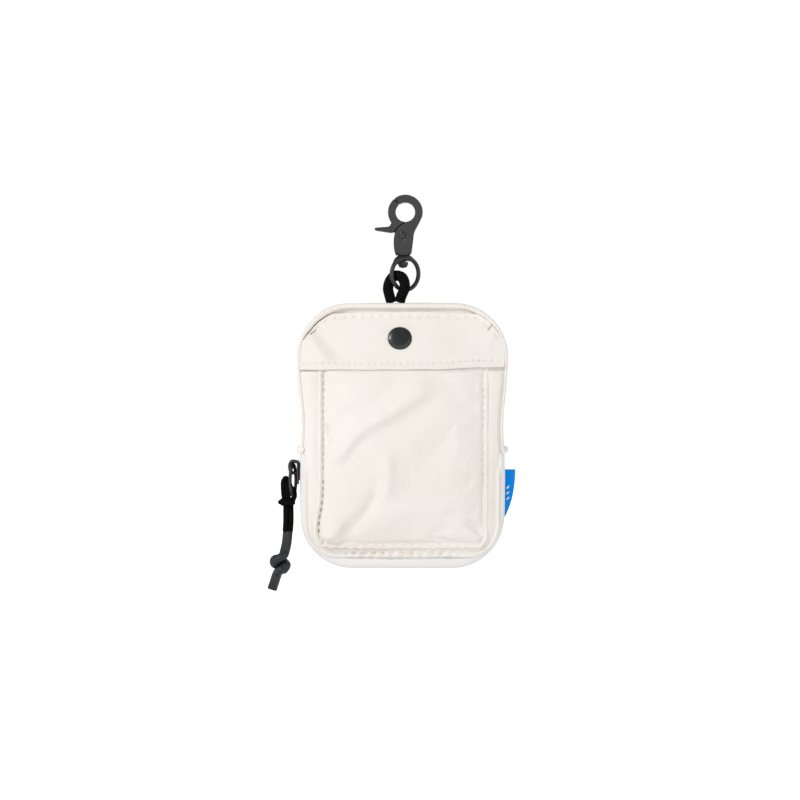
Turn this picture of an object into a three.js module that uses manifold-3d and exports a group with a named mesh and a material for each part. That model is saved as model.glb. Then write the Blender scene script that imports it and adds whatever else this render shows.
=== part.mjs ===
// A snap-topped treat pouch that hangs from a scissor hook.
// Frame: millimetres, +Z up, the front faces -Y, the origin is the hook's seat.
import * as THREE from 'three';
import { mergeVertices } from 'three/addons/utils/BufferGeometryUtils.js';
import Module from 'manifold-3d';

const wasm = await Module();
wasm.setup();

// ---------------------------------------------------------------- dimensions

const GAP = 0.3;
const FABRIC = 1.2;
const ARC_STEPS = 9;

// The pouch's outline, seen from the front.
const POUCH = {
  x: -1.5,
  top: -51,
  bottom: -183.4,
  halfTop: 52.6,
  halfBottom: 51,
  topRadius: 22.5,
  bottomRadius: 26,
};

// Depths: the back panel is flat, and the front leans back towards the top.
const BACK = { outer: 7.5, inner: 6.3 };
const SEAM_TOP = -6.5;
const SEAM_FRONT = -11;
const SEAM_BEND_Z = -86;
const FRONT_PANEL_Y = -12.6;
const FOLD_Z = -126;
const FOLD_GAP = 0.4;

const RIM = { width: 2.6, depth: 2.4 };
const RIM_ROOM = RIM.width + GAP;

// The lip that closes the mouth: an outer flap over a backing layer.
const LIP = {
  inset: 4.8,
  top: -56.2,
  hem: -84.5,
  topY: -9.2,
  side: 4.6,
  crown: 5.2,
  thickness: 1.3,
};
const BACKING = { bottomY: FRONT_PANEL_Y, thickness: 0.8 };
const FACING = { y: -5.6, thickness: 0.9, bottom: -83 };

const POCKET = {
  left: -43.5,
  right: 41,
  top: -85,
  bottom: -172,
  radius: 5,
  outerY: -18.5,
  topY: -18,
  wall: 1.1,
};

// The zip runs round the lower half, close to the front edge.
const ZIP = {
  y: -8,
  slit: 0.6,
  coilWidth: 1.4,
  coilDepth: 1.6,
  tapeInset: 0.1,
  tapeThickness: 0.7,
  start: FOLD_Z - 2.4,
  rearEdge: -3.2,
};
const TAB = { height: 3.2, thickness: 1.3, front: -10.5, back: 4.5, z: FOLD_Z + GAP };

const SLIDER = {
  top: -129.5,
  length: 12,
  width: 8.2,
  plate: 0.8,
  room: 0.3,
  neck: 0.7,
};
const PULL = {
  wire: 0.75,
  halfWidth: 3.75,
  halfHeight: 7.8,
  top: -131.6,
  x: -56.2,
  turn: THREE.MathUtils.degToRad(70),
};
const PULLER = { cordRadius: 2.5, sleeveRadius: 2.7, knotRadius: 4.7, y: -8 };
const PULLER_CORD_ROUTE = [
  [-58.5, -149.3],
  [-58.4, -154],
  [-58.4, -159],
  [-58.6, -164.6],
];
const PULLER_SLEEVE_ROUTE = [
  [-58.7, -165.2],
  [-59.3, -171],
  [-61.0, -177],
  [-63.2, -183],
  [-65.0, -188.5],
  [-66.6, -194.2],
];
const KNOT = [-62.9, -181.6];

const SNAP = {
  x: -2.8,
  z: -68.9,
  capRadius: 6,
  capHeight: 1.1,
  postRadius: 1.5,
  socketZ: -70.4,
  socketRadius: 4.6,
  socketHole: 2.7,
  studBase: 3.6,
  studRadius: 1.7,
};

// The loop of cord on top, and the swivel eye that it hangs from.
const LOOP_RADIUS = 2.4;
const LOOP_ROUTE = [
  [-7.5, -1.4, -50.2],
  [-8.3, -0.9, -46.8],
  [-8.7, -0.3, -43.4],
  [-8, -0.1, -40],
  [-6.2, -0.9, -37.5],
  [-3.9, -2.3, -36.9],
  [-1.6, -3.8, -38],
  [-0.4, -4.7, -40.8],
  [-0.6, -4.7, -44],
  [-1.7, -4, -47.2],
  [-2.3, -3.4, -50.2],
];

const SWIVEL = {
  x: -1.2,
  turn: THREE.MathUtils.degToRad(44),
  lean: THREE.MathUtils.degToRad(11),
  wire: 1.1,
  halfWidth: 9.2,
  halfHeight: 8.2,
  eyeTop: -26.1,
  eyeBottom: -29.5,
  eyeWidth: 8,
  eyeDepth: 5,
  bore: 1.7,
};
const POST = { radius: 1.3, top: -21.5, headTop: -29.9, headRadius: 2.6, headHeight: 3.2 };

const HOOK = {
  ringZ: -4.9,
  inner: 4.9,
  outer: 8.75,
  halfDepth: 2.2,
  gateHalfDepth: 1.9,
  bottom: -25.7,
  slot: 1.1,
  slotRight: 1.9,
  slotBottom: -19.8,
  pivot: [-1.6, -16.6],
  pinHole: 1.3,
  postBore: 1.6,
};
const SPLIT_TOP = THREE.MathUtils.degToRad(128);
const SPLIT_GAP = THREE.MathUtils.degToRad(3);
const SEAT_END = THREE.MathUtils.degToRad(-83);
const GATE_OPEN = THREE.MathUtils.degToRad(25);
const GATE_STEPS = 5;

const LABEL = { left: 50.4, right: 54.8, top: -134.4, bottom: -160, front: 3, thickness: 1.2 };

// ----------------------------------------------------------------- materials

const canvas = new THREE.MeshStandardMaterial({ color: 0xf0ebe2, roughness: 0.9, metalness: 0 });
const tape = new THREE.MeshStandardMaterial({ color: 0xe9e6e0, roughness: 0.85, metalness: 0 });
const coilPlastic = new THREE.MeshStandardMaterial({ color: 0xe4e0d8, roughness: 0.5, metalness: 0 });
const blackMetal = new THREE.MeshStandardMaterial({ color: 0x2a2a2b, roughness: 0.4, metalness: 0.8 });
const blackCord = new THREE.MeshStandardMaterial({ color: 0x141416, roughness: 0.8, metalness: 0 });
const greySleeve = new THREE.MeshStandardMaterial({ color: 0x3a3d40, roughness: 0.6, metalness: 0 });
const blueLabel = new THREE.MeshStandardMaterial({ color: 0x0882de, roughness: 0.8, metalness: 0 });

// ------------------------------------------------------------------- helpers

const model = new THREE.Group();

function add(name, geometry, material) {
  const mesh = new THREE.Mesh(geometry, material);
  mesh.name = name;
  model.add(mesh);
}

function solid(geometry) {
  const bare = geometry.clone();
  bare.deleteAttribute('normal');
  bare.deleteAttribute('uv');
  const merged = mergeVertices(bare, 1e-4);
  return new wasm.Manifold(new wasm.Mesh({
    numProp: 3,
    vertProperties: new Float32Array(merged.attributes.position.array),
    triVerts: new Uint32Array(merged.index.array),
  }));
}

function surface(manifold) {
  const mesh = manifold.getMesh();
  const geometry = new THREE.BufferGeometry();
  geometry.setAttribute('position', new THREE.BufferAttribute(mesh.vertProperties, 3));
  geometry.setIndex(new THREE.BufferAttribute(mesh.triVerts, 1));
  return geometry;
}

// A front-view outline (x, z) given a depth from y0, the front, to y1.
function slab(shape, y0, y1, curveSegments = ARC_STEPS) {
  const geometry = new THREE.ExtrudeGeometry(shape, {
    depth: y1 - y0,
    bevelEnabled: false,
    curveSegments,
  });
  return geometry.rotateX(Math.PI / 2).translate(0, y1, 0);
}

// A side-view outline (y, z) run across from x0 to x1.
function crossways(points, x0 = -80, x1 = 80) {
  const shape = new THREE.Shape(points.map(([y, z]) => new THREE.Vector2(y, z)));
  const geometry = new THREE.ExtrudeGeometry(shape, { depth: x1 - x0, bevelEnabled: false });
  const turn = new THREE.Matrix4().makeBasis(
    new THREE.Vector3(0, 1, 0),
    new THREE.Vector3(0, 0, 1),
    new THREE.Vector3(1, 0, 0),
  );
  return geometry.applyMatrix4(turn).translate(x0, 0, 0);
}

function block(x0, x1, y0, y1, z0, z1) {
  return new THREE.BoxGeometry(x1 - x0, y1 - y0, z1 - z0)
    .translate((x0 + x1) / 2, (y0 + y1) / 2, (z0 + z1) / 2);
}

function rod(points, radius, sides, steps) {
  const section = new THREE.Shape().absarc(0, 0, radius, 0, Math.PI * 2);
  const curve = new THREE.CatmullRomCurve3(points.map((p) => new THREE.Vector3(...p)));
  return new THREE.ExtrudeGeometry(section, {
    steps,
    extrudePath: curve,
    curveSegments: sides,
    bevelEnabled: false,
  });
}

// An oval ring of round wire, standing in the XZ plane.
function oval(halfWidth, halfHeight, wire, sides, steps) {
  const radius = Math.min(halfWidth, halfHeight);
  const ring = new THREE.TorusGeometry(radius, wire, sides, steps);
  const position = ring.attributes.position;
  for (let i = 0; i < position.count; i += 1) {
    const outward = new THREE.Vector2(position.getX(i), position.getY(i)).normalize();
    position.setX(i, position.getX(i) + outward.x * (halfWidth - radius));
    position.setY(i, position.getY(i) + outward.y * (halfHeight - radius));
  }
  return ring.rotateX(Math.PI / 2);
}

// A turned piece from a profile of [radius, height along the axis].
function turned(profile, sides) {
  return new THREE.LatheGeometry(profile.map(([r, h]) => new THREE.Vector2(r, h)), sides);
}

// The pouch's outline, moved inwards.
function pouchShape(inset, Kind = THREE.Shape) {
  const { x, halfTop, halfBottom } = POUCH;
  const shape = new Kind();
  const top = POUCH.top - inset;
  const bottom = POUCH.bottom + inset;
  const upper = halfTop - inset;
  const lower = halfBottom - inset;
  const topRadius = POUCH.topRadius - inset;
  const bottomRadius = POUCH.bottomRadius - inset;
  shape.absarc(x + upper - topRadius, top - topRadius, topRadius, 0, Math.PI / 2);
  shape.absarc(x - upper + topRadius, top - topRadius, topRadius, Math.PI / 2, Math.PI);
  shape.absarc(x - lower + bottomRadius, bottom + bottomRadius, bottomRadius, Math.PI, Math.PI * 1.5);
  shape.absarc(x + lower - bottomRadius, bottom + bottomRadius, bottomRadius, Math.PI * 1.5, Math.PI * 2);
  shape.closePath();
  return shape;
}

// Half the pouch's width at a height on its straight sides.
function halfWidthAt(z) {
  const { top, bottom, halfTop, halfBottom, topRadius, bottomRadius } = POUCH;
  const high = top - topRadius;
  const low = bottom + bottomRadius;
  return halfBottom + ((halfTop - halfBottom) * (z - low)) / (high - low);
}

// A band that follows the pouch's outline, between two insets.
function band(outerInset, innerInset, y0, y1) {
  const shape = pouchShape(outerInset);
  shape.holes.push(pouchShape(innerInset, THREE.Path));
  return solid(slab(shape, y0, y1));
}

function above(z, y0 = -40, y1 = 40) {
  return solid(crossways([[y0, z], [y1, z], [y1, 20], [y0, 20]]));
}

function below(z, y0 = -40, y1 = 40) {
  return solid(crossways([[y0, -260], [y1, -260], [y1, z], [y0, z]]));
}

// A sheet whose front face follows a formula, with an even thickness.
function formedSheet({ left, right, bottom, top, columns, rows, thickness }, frontY) {
  const width = right - left;
  const height = top - bottom;
  const geometry = new THREE.BoxGeometry(width, 1, height, columns, 1, rows);
  geometry.translate((left + right) / 2, 0, (top + bottom) / 2);
  const position = geometry.attributes.position;
  for (let i = 0; i < position.count; i += 1) {
    const front = frontY(position.getX(i), position.getZ(i));
    position.setY(i, position.getY(i) < 0 ? front : front + thickness);
  }
  return solid(geometry);
}

// ------------------------------------------------------------------ the shell

function seamWedge(offset) {
  return solid(crossways([
    [SEAM_TOP + offset, 10],
    [SEAM_TOP + offset, POUCH.top],
    [SEAM_FRONT + offset, SEAM_BEND_Z],
    [SEAM_FRONT + offset, -260],
    [BACK.inner - GAP, -260],
    [BACK.inner - GAP, 10],
  ]));
}

function backPanel() {
  return slab(pouchShape(0), BACK.inner, BACK.outer);
}

// The slit in the top that the loop's two legs go down through.
function loopSlot() {
  const half = LOOP_RADIUS + GAP;
  const [left, behind] = LOOP_ROUTE[0];
  const [right, ahead] = LOOP_ROUTE[LOOP_ROUTE.length - 1];
  return solid(block(left - half, right + half, ahead - half, behind + half, POUCH.top - 4, POUCH.top + 4));
}

function gussetTop() {
  const wall = band(0, FABRIC, -30, 20);
  return surface(wall.intersect(seamWedge(0)).intersect(above(FOLD_Z + FOLD_GAP)).subtract(loopSlot()));
}

function gussetBottom() {
  const wall = band(0, FABRIC, ZIP.rearEdge + GAP, BACK.inner - GAP);
  return surface(wall.intersect(below(FOLD_Z)));
}

function rimBinding() {
  const hoop = band(0, RIM.width, -30, 20);
  const front = seamWedge(-GAP - RIM.depth);
  const back = seamWedge(-GAP);
  return surface(hoop.intersect(front).subtract(back).intersect(above(FOLD_Z + FOLD_GAP)));
}

// -------------------------------------------------------------- mouth and lip

function lipDrop(z) {
  return (LIP.top - z) / (LIP.top - LIP.hem);
}

function lipY(x, z) {
  const across = (x - POUCH.x) / (POUCH.halfTop - LIP.inset);
  return LIP.topY - lipDrop(z) * (LIP.side + LIP.crown * (1 - across * across));
}

function backingY(x, z) {
  const inner = LIP.topY + LIP.thickness + GAP;
  return inner + (BACKING.bottomY - inner) * Math.min(1, lipDrop(z));
}

// The snap's parts are turned about +Y, then tipped to lie on their layer.
function onLayer(geometry, y, z, tip) {
  return geometry.rotateX(-tip).translate(SNAP.x, y, z);
}

function lipTip() {
  return Math.atan2(LIP.side + LIP.crown, LIP.top - LIP.hem);
}

function snapHole(z, y, tip) {
  const radius = SNAP.postRadius + GAP;
  return solid(onLayer(new THREE.CylinderGeometry(radius, radius, 20, 16), y, z, tip));
}

function lipSheet(top, bottom, inset, thickness, frontY) {
  const half = POUCH.halfTop - inset;
  const sheet = formedSheet({
    left: POUCH.x - half,
    right: POUCH.x + half,
    bottom,
    top,
    columns: 12,
    rows: 3,
    thickness,
  }, frontY);
  return sheet
    .intersect(solid(slab(pouchShape(inset), -60, 30)))
    .subtract(snapHole(SNAP.z, lipY(SNAP.x, SNAP.z), lipTip()));
}

function mouthLip() {
  return surface(lipSheet(LIP.top, LIP.hem, LIP.inset, LIP.thickness, lipY));
}

function lipBacking() {
  return surface(lipSheet(LIP.top, SEAM_BEND_Z + GAP, LIP.inset, BACKING.thickness, backingY));
}

function mouthFacing() {
  const sheet = slab(pouchShape(RIM_ROOM), FACING.y, FACING.y + FACING.thickness);
  return surface(solid(sheet).intersect(above(FACING.bottom)).subtract(snapHole(SNAP.socketZ, 0, 0)));
}

function snapPieces() {
  const { capRadius, capHeight, postRadius, socketZ, socketRadius, socketHole, studBase, studRadius } = SNAP;
  const capY = lipY(SNAP.x, SNAP.z);
  const innerY = backingY(SNAP.x, socketZ) + BACKING.thickness;
  const backingTip = Math.atan2(backingY(0, LIP.top) - BACKING.bottomY, LIP.top - LIP.hem);
  const reach = (innerY - capY) / Math.cos(lipTip()) - GAP;
  const cap = turned([
    [0, -GAP - capHeight],
    [capRadius * 0.7, -GAP - capHeight * 0.88],
    [capRadius, -GAP - capHeight * 0.4],
    [capRadius, -GAP],
    [postRadius, -GAP],
    [postRadius, reach],
    [0, reach],
  ], 20);
  const socket = turned([
    [socketHole, GAP],
    [socketRadius, GAP],
    [socketRadius, GAP + 0.6],
    [socketHole + 0.8, GAP + 1.2],
    [socketHole, GAP + 1.2],
    [socketHole, GAP],
  ], 20);
  const stud = turned([
    [0, -GAP - 2.2],
    [studRadius, -GAP - 2.2],
    [studRadius, -GAP - 0.5],
    [studBase, -GAP - 0.5],
    [studBase, -GAP],
    [0, -GAP],
  ], 20);
  const post = turned([
    [0, 0],
    [postRadius, 0],
    [postRadius, FACING.thickness + GAP],
    [4.4, FACING.thickness + GAP],
    [4.4, FACING.thickness + GAP + 0.7],
    [0, FACING.thickness + GAP + 0.7],
  ], 20);
  add('snap_cap', onLayer(cap, capY, SNAP.z, lipTip()), blackMetal);
  add('snap_socket', onLayer(socket, innerY, socketZ, backingTip), blackMetal);
  add('snap_stud', onLayer(stud, FACING.y, socketZ, 0), blackMetal);
  add('snap_post', onLayer(post, FACING.y, socketZ, 0), blackMetal);
}

// ------------------------------------------------------ front panel and pocket

function frontPanelUpper() {
  const sheet = solid(slab(pouchShape(RIM_ROOM), FRONT_PANEL_Y, FRONT_PANEL_Y + FABRIC));
  return surface(sheet.intersect(above(FOLD_Z + FOLD_GAP)).intersect(below(SEAM_BEND_Z)));
}

function frontPanelLower() {
  const sheet = solid(slab(pouchShape(0), FRONT_PANEL_Y, FRONT_PANEL_Y + FABRIC));
  return surface(sheet.intersect(below(FOLD_Z)));
}

function pocketShape(inset, topZ) {
  const left = POCKET.left + inset;
  const right = POCKET.right - inset;
  const bottom = POCKET.bottom + inset;
  const radius = POCKET.radius - inset;
  const shape = new THREE.Shape();
  shape.moveTo(right, topZ);
  shape.lineTo(left, topZ);
  shape.absarc(left + radius, bottom + radius, radius, Math.PI, Math.PI * 1.5);
  shape.absarc(right - radius, bottom + radius, radius, Math.PI * 1.5, Math.PI * 2);
  shape.closePath();
  return shape;
}

function pocketTray() {
  const behind = FRONT_PANEL_Y - GAP;
  const outer = solid(slab(pocketShape(0, POCKET.top), POCKET.outerY, behind));
  const inner = solid(slab(pocketShape(POCKET.wall, POCKET.top + 10), POCKET.outerY + POCKET.wall, 20));
  const lean = solid(crossways([
    [POCKET.topY, -60],
    [POCKET.topY, POCKET.top],
    [POCKET.outerY, POCKET.top - 18],
    [POCKET.outerY - 10, POCKET.top - 18],
    [POCKET.outerY - 10, -60],
  ]));
  const innerLean = lean.translate([0, POCKET.wall, 0]);
  return outer.subtract(lean).subtract(inner.subtract(innerLean));
}

// ----------------------------------------------------------------------- zip

function zipBand(y0, y1, outerInset, thickness, top) {
  return surface(band(outerInset, outerInset + thickness, y0, y1).intersect(below(top)));
}

function zipPieces() {
  const { y, slit, coilWidth, coilDepth, tapeInset, tapeThickness, start } = ZIP;
  const rearCoil = [y + slit, y + slit + coilWidth];
  const frontCoil = [y - slit - coilWidth, y - slit];
  const tapeFront = FRONT_PANEL_Y + FABRIC + GAP;
  add('zip_coil_rear', zipBand(...rearCoil, 0, coilDepth, start), coilPlastic);
  add('zip_coil_front', zipBand(...frontCoil, 0, coilDepth, start), coilPlastic);
  add('zip_tape_rear', zipBand(rearCoil[1] + GAP, ZIP.rearEdge, tapeInset, tapeThickness, FOLD_Z), tape);
  add('zip_tape_front', zipBand(tapeFront, frontCoil[0] - GAP, tapeInset, tapeThickness, FOLD_Z), tape);
}

// The folded ends that cover where the zip starts, on either side.
function endTab(side) {
  const near = POUCH.x + side * (halfWidthAt(TAB.z) + GAP * 1.5);
  const far = near + side * TAB.thickness;
  return block(Math.min(near, far), Math.max(near, far), TAB.front, TAB.back, TAB.z, TAB.z + TAB.height);
}

function sliderOuterX() {
  return POUCH.x - halfWidthAt(SLIDER.top) - SLIDER.room;
}

function sliderBody() {
  const outer = sliderOuterX();
  const inner = outer + ZIP.coilDepth + SLIDER.room * 3;
  const front = ZIP.y - SLIDER.width / 2;
  const back = ZIP.y + SLIDER.width / 2;
  const bottom = SLIDER.top - SLIDER.length;
  const outerPlate = solid(block(outer - SLIDER.plate, outer, front, back, bottom, SLIDER.top));
  const neck = solid(block(outer - 0.2, inner + 0.2, ZIP.y - SLIDER.neck / 2, ZIP.y + SLIDER.neck / 2,
    bottom + 2, SLIDER.top - 1));
  const innerPlate = solid(block(inner, inner + SLIDER.plate, front + 1, back - 1, bottom + 1, SLIDER.top));
  return surface(outerPlate.add(neck).add(innerPlate));
}

function sliderBridge() {
  const plate = sliderOuterX() - SLIDER.plate - GAP;
  const top = SLIDER.top - 0.2;
  const shape = [
    [plate, top],
    [plate - 4.2, top - 0.2],
    [plate - 4.2, top - 5.6],
    [plate, top - 6.6],
    [plate, top - 5.8],
    [plate - 3.4, top - 4.9],
    [plate - 3.4, top - 0.9],
    [plate, top - 0.8],
  ];
  const outline = new THREE.Shape(shape.map(([x, z]) => new THREE.Vector2(x, z)));
  return slab(outline, ZIP.y - 1.2, ZIP.y + 1.2);
}

function pullRing() {
  const { wire, halfWidth, halfHeight, top, x, turn } = PULL;
  return oval(halfWidth, halfHeight, wire, 8, 28)
    .rotateZ(turn)
    .translate(x, ZIP.y, top - halfHeight);
}

function inPullerPlane([x, z]) {
  return [x, PULLER.y, z];
}

function pullerSleeve() {
  const sleeve = solid(rod(PULLER_SLEEVE_ROUTE.map(inPullerPlane), PULLER.sleeveRadius, 12, 14));
  const knot = new THREE.SphereGeometry(PULLER.knotRadius, 12, 8)
    .scale(1, 0.9, 1.2)
    .translate(KNOT[0], PULLER.y, KNOT[1]);
  return surface(sleeve.add(solid(knot)));
}

function sideLabel() {
  const { left, right, top, bottom, front, thickness } = LABEL;
  const shape = new THREE.Shape();
  shape.moveTo(left, top);
  shape.lineTo(left, bottom);
  shape.quadraticCurveTo(right - 0.6, (top + bottom) / 2 - 3, right, top);
  shape.closePath();
  return slab(shape, front, front + thickness, 6);
}

// ------------------------------------------------------------ hook and swivel

function onHookRing(radius, angle) {
  return [radius * Math.cos(angle), HOOK.ringZ + radius * Math.sin(angle)];
}

function hookOutline() {
  const { ringZ, inner, outer, bottom } = HOOK;
  const shape = new THREE.Shape();
  shape.absarc(0, ringZ, outer, SPLIT_TOP, -0.25, true);
  shape.quadraticCurveTo(7, -10.4, 5, -13.9);
  shape.quadraticCurveTo(4.1, -16, 4.1, -18);
  shape.lineTo(3.1, bottom);
  shape.lineTo(-5.2, bottom);
  shape.quadraticCurveTo(-6.6, -20, -5.3, -15.4);
  shape.quadraticCurveTo(-3.2, -11.9, ...onHookRing(inner, SEAT_END));
  shape.absarc(0, ringZ, inner, SEAT_END, SPLIT_TOP, false);
  shape.closePath();
  return shape;
}

function gateOutline() {
  const { ringZ, inner, outer } = HOOK;
  const shape = new THREE.Shape();
  const start = SPLIT_TOP + SPLIT_GAP;
  shape.absarc(0, ringZ, outer, start, Math.PI * 1.2, false);
  shape.quadraticCurveTo(-7.6, -12.2, -9.2, -12.3);
  shape.lineTo(-15, -12.7);
  shape.quadraticCurveTo(-15.9, -13.4, -15, -14.1);
  shape.lineTo(-8.6, -15.1);
  shape.quadraticCurveTo(-6.6, -15.5, -5.9, -15);
  shape.quadraticCurveTo(-3.4, -11.3, ...onHookRing(inner, SEAT_END - SPLIT_GAP * 2));
  shape.absarc(0, ringZ, inner, SEAT_END - SPLIT_GAP * 2, start - Math.PI * 2, true);
  shape.closePath();
  return shape;
}

function hookSlot() {
  return solid(block(-12, HOOK.slotRight, -HOOK.slot, HOOK.slot, HOOK.slotBottom, -8.4));
}

function alongY(geometry, x, z) {
  return geometry.translate(x, 0, z);
}

function hookBody() {
  const { halfDepth, pivot, pinHole, postBore } = HOOK;
  const casting = solid(slab(hookOutline(), -halfDepth, halfDepth, 14));
  const pinBore = alongY(new THREE.CylinderGeometry(pinHole, pinHole, 20, 16), ...pivot);
  const swivelBore = new THREE.CylinderGeometry(postBore, postBore, 12, 16)
    .rotateX(Math.PI / 2)
    .translate(SWIVEL.x, 0, POST.top + GAP - 6);
  return casting.subtract(hookSlot()).subtract(solid(pinBore)).subtract(solid(swivelBore));
}

// The gate keeps its full depth only where it never meets the hook's cheeks.
function hookGate(body) {
  const { pivot, pinHole, slot } = HOOK;
  const turnedBy = (angle) => body
    .translate([-pivot[0], 0, -pivot[1]])
    .rotate([0, THREE.MathUtils.radToDeg(angle), 0])
    .translate([pivot[0], 0, pivot[1]]);
  let leaf = solid(slab(gateOutline(), -HOOK.gateHalfDepth, HOOK.gateHalfDepth, 14));
  for (let step = 0; step <= GATE_STEPS; step += 1) {
    leaf = leaf.subtract(turnedBy((GATE_OPEN * step) / GATE_STEPS));
  }
  const hubDepth = slot - GAP;
  const hub = new THREE.Shape();
  hub.moveTo(-5.9, -14.6);
  hub.quadraticCurveTo(-3.4, -11.1, 0, -9.9);
  hub.lineTo(0.6, -15.4);
  hub.absarc(pivot[0], pivot[1], 2.5, 0.5, -Math.PI * 0.9, true);
  hub.closePath();
  const bore = alongY(new THREE.CylinderGeometry(pinHole, pinHole, 20, 16), ...pivot);
  return leaf.add(solid(slab(hub, -hubDepth, hubDepth))).subtract(solid(bore));
}

function gatePin() {
  const end = HOOK.halfDepth + GAP;
  const pin = turned([
    [0, -end - 0.6],
    [1.5, -end - 0.4],
    [1.8, -end],
    [1, -end],
    [1, end],
    [1.8, end],
    [1.5, end + 0.4],
    [0, end + 0.6],
  ], 14);
  return alongY(pin, ...HOOK.pivot);
}

function gateSpring() {
  const shape = new THREE.Shape();
  shape.moveTo(-4.2, -19.75);
  shape.lineTo(1.75, -19.75);
  shape.lineTo(1.75, -13.5);
  shape.lineTo(1.4, -13.5);
  shape.lineTo(1.4, -19.45);
  shape.lineTo(-4.2, -19.45);
  shape.closePath();
  return slab(shape, -0.7, 0.7);
}

function swivelPost() {
  const { radius, top, headTop, headRadius, headHeight } = POST;
  const post = turned([
    [0, headTop - headHeight],
    [headRadius * 0.7, headTop - headHeight * 0.85],
    [headRadius, headTop - headHeight * 0.45],
    [headRadius, headTop],
    [radius, headTop],
    [radius, top],
    [0, top],
  ], 16);
  return post.rotateX(Math.PI / 2).translate(SWIVEL.x, 0, 0);
}

function swivelRing() {
  const { x, turn, lean, wire, halfWidth, halfHeight, eyeTop, eyeBottom, eyeWidth, eyeDepth, bore } = SWIVEL;
  const eyeMiddle = (eyeTop + eyeBottom) / 2;
  const hoop = oval(halfWidth, halfHeight, wire, 10, 40)
    .translate(0, 0, -halfHeight)
    .rotateY(-lean)
    .translate(0, 0, eyeMiddle);
  const eye = block(-eyeWidth / 2, eyeWidth / 2, -eyeDepth / 2, eyeDepth / 2, eyeBottom, eyeTop);
  const hole = new THREE.CylinderGeometry(bore, bore, 10, 16).rotateX(Math.PI / 2).translate(0, 0, eyeMiddle);
  const headRoom = new THREE.CylinderGeometry(POST.headRadius + GAP, POST.headRadius + GAP, 6, 16)
    .rotateX(Math.PI / 2)
    .translate(0, 0, eyeBottom - 3);
  const ring = solid(hoop).add(solid(eye)).subtract(solid(hole)).subtract(solid(headRoom));
  return surface(ring).rotateZ(turn).translate(x, 0, 0);
}

// ----------------------------------------------------------------- assembly

const hook = hookBody();
add('hook_body', surface(hook), blackMetal);
add('hook_gate', surface(hookGate(hook)), blackMetal);
add('gate_pin', gatePin(), blackMetal);
add('gate_spring', gateSpring(), blackMetal);
add('swivel_post', swivelPost(), blackMetal);
add('swivel_ring', swivelRing(), blackMetal);
add('top_loop', rod(LOOP_ROUTE, LOOP_RADIUS, 10, 22), blackCord);

add('back_panel', backPanel(), canvas);
add('gusset_top', gussetTop(), canvas);
add('gusset_bottom', gussetBottom(), canvas);
add('rim_binding', rimBinding(), canvas);
add('mouth_facing', mouthFacing(), canvas);
add('mouth_lip', mouthLip(), canvas);
add('lip_backing', lipBacking(), canvas);
snapPieces();

add('front_panel_upper', frontPanelUpper(), canvas);
add('front_panel_lower', frontPanelLower(), canvas);
const pocket = pocketTray();
add('pocket_upper', surface(pocket.intersect(above(FOLD_Z + FOLD_GAP))), canvas);
add('pocket_lower', surface(pocket.intersect(below(FOLD_Z))), canvas);

zipPieces();
add('end_tab_left', endTab(-1), canvas);
add('end_tab_right', endTab(1), canvas);
add('slider_body', sliderBody(), blackMetal);
add('slider_bridge', sliderBridge(), blackMetal);
add('pull_ring', pullRing(), blackMetal);
add('puller_cord', rod(PULLER_CORD_ROUTE.map(inPullerPlane), PULLER.cordRadius, 10, 10), blackCord);
add('puller_sleeve', pullerSleeve(), greySleeve);
add('side_label', sideLabel(), blueLabel);

export default model;
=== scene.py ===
"""A treat pouch hung from a scissor hook: the looks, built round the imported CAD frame.

Lengths here are in millimetres in the CAD model's frame, and MM turns them into metres where a mesh
is made. The studio's floor and lights are in metres.
"""

import math

import bpy
import numpy as np
from mathutils import Matrix, Vector, noise
from mathutils.bvhtree import BVHTree


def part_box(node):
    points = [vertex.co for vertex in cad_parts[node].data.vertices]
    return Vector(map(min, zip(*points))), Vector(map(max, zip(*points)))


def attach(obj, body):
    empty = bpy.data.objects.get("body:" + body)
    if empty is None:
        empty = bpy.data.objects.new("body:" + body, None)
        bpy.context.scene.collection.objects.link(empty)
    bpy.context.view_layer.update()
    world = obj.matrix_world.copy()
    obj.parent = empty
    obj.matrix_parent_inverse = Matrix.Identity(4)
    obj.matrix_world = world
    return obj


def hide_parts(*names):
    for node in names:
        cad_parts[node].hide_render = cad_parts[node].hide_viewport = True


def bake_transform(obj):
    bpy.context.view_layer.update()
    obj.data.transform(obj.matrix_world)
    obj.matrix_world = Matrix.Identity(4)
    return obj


MM = 0.001
OUTSIDE = 0.1  # metres from the middle, clear of the whole object
X_AXIS = Vector((1, 0, 0))
Y_AXIS = Vector((0, 1, 0))
Z_AXIS = Vector((0, 0, 1))
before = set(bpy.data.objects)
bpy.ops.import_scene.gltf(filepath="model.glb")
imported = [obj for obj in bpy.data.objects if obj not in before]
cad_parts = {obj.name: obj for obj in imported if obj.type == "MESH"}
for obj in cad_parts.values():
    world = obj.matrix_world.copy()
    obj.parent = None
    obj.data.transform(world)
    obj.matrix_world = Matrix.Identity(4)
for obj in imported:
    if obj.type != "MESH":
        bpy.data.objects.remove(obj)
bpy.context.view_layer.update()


def box_mm(node):
    low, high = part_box(node)
    return low / MM, high / MM


# --- dimensions

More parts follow.
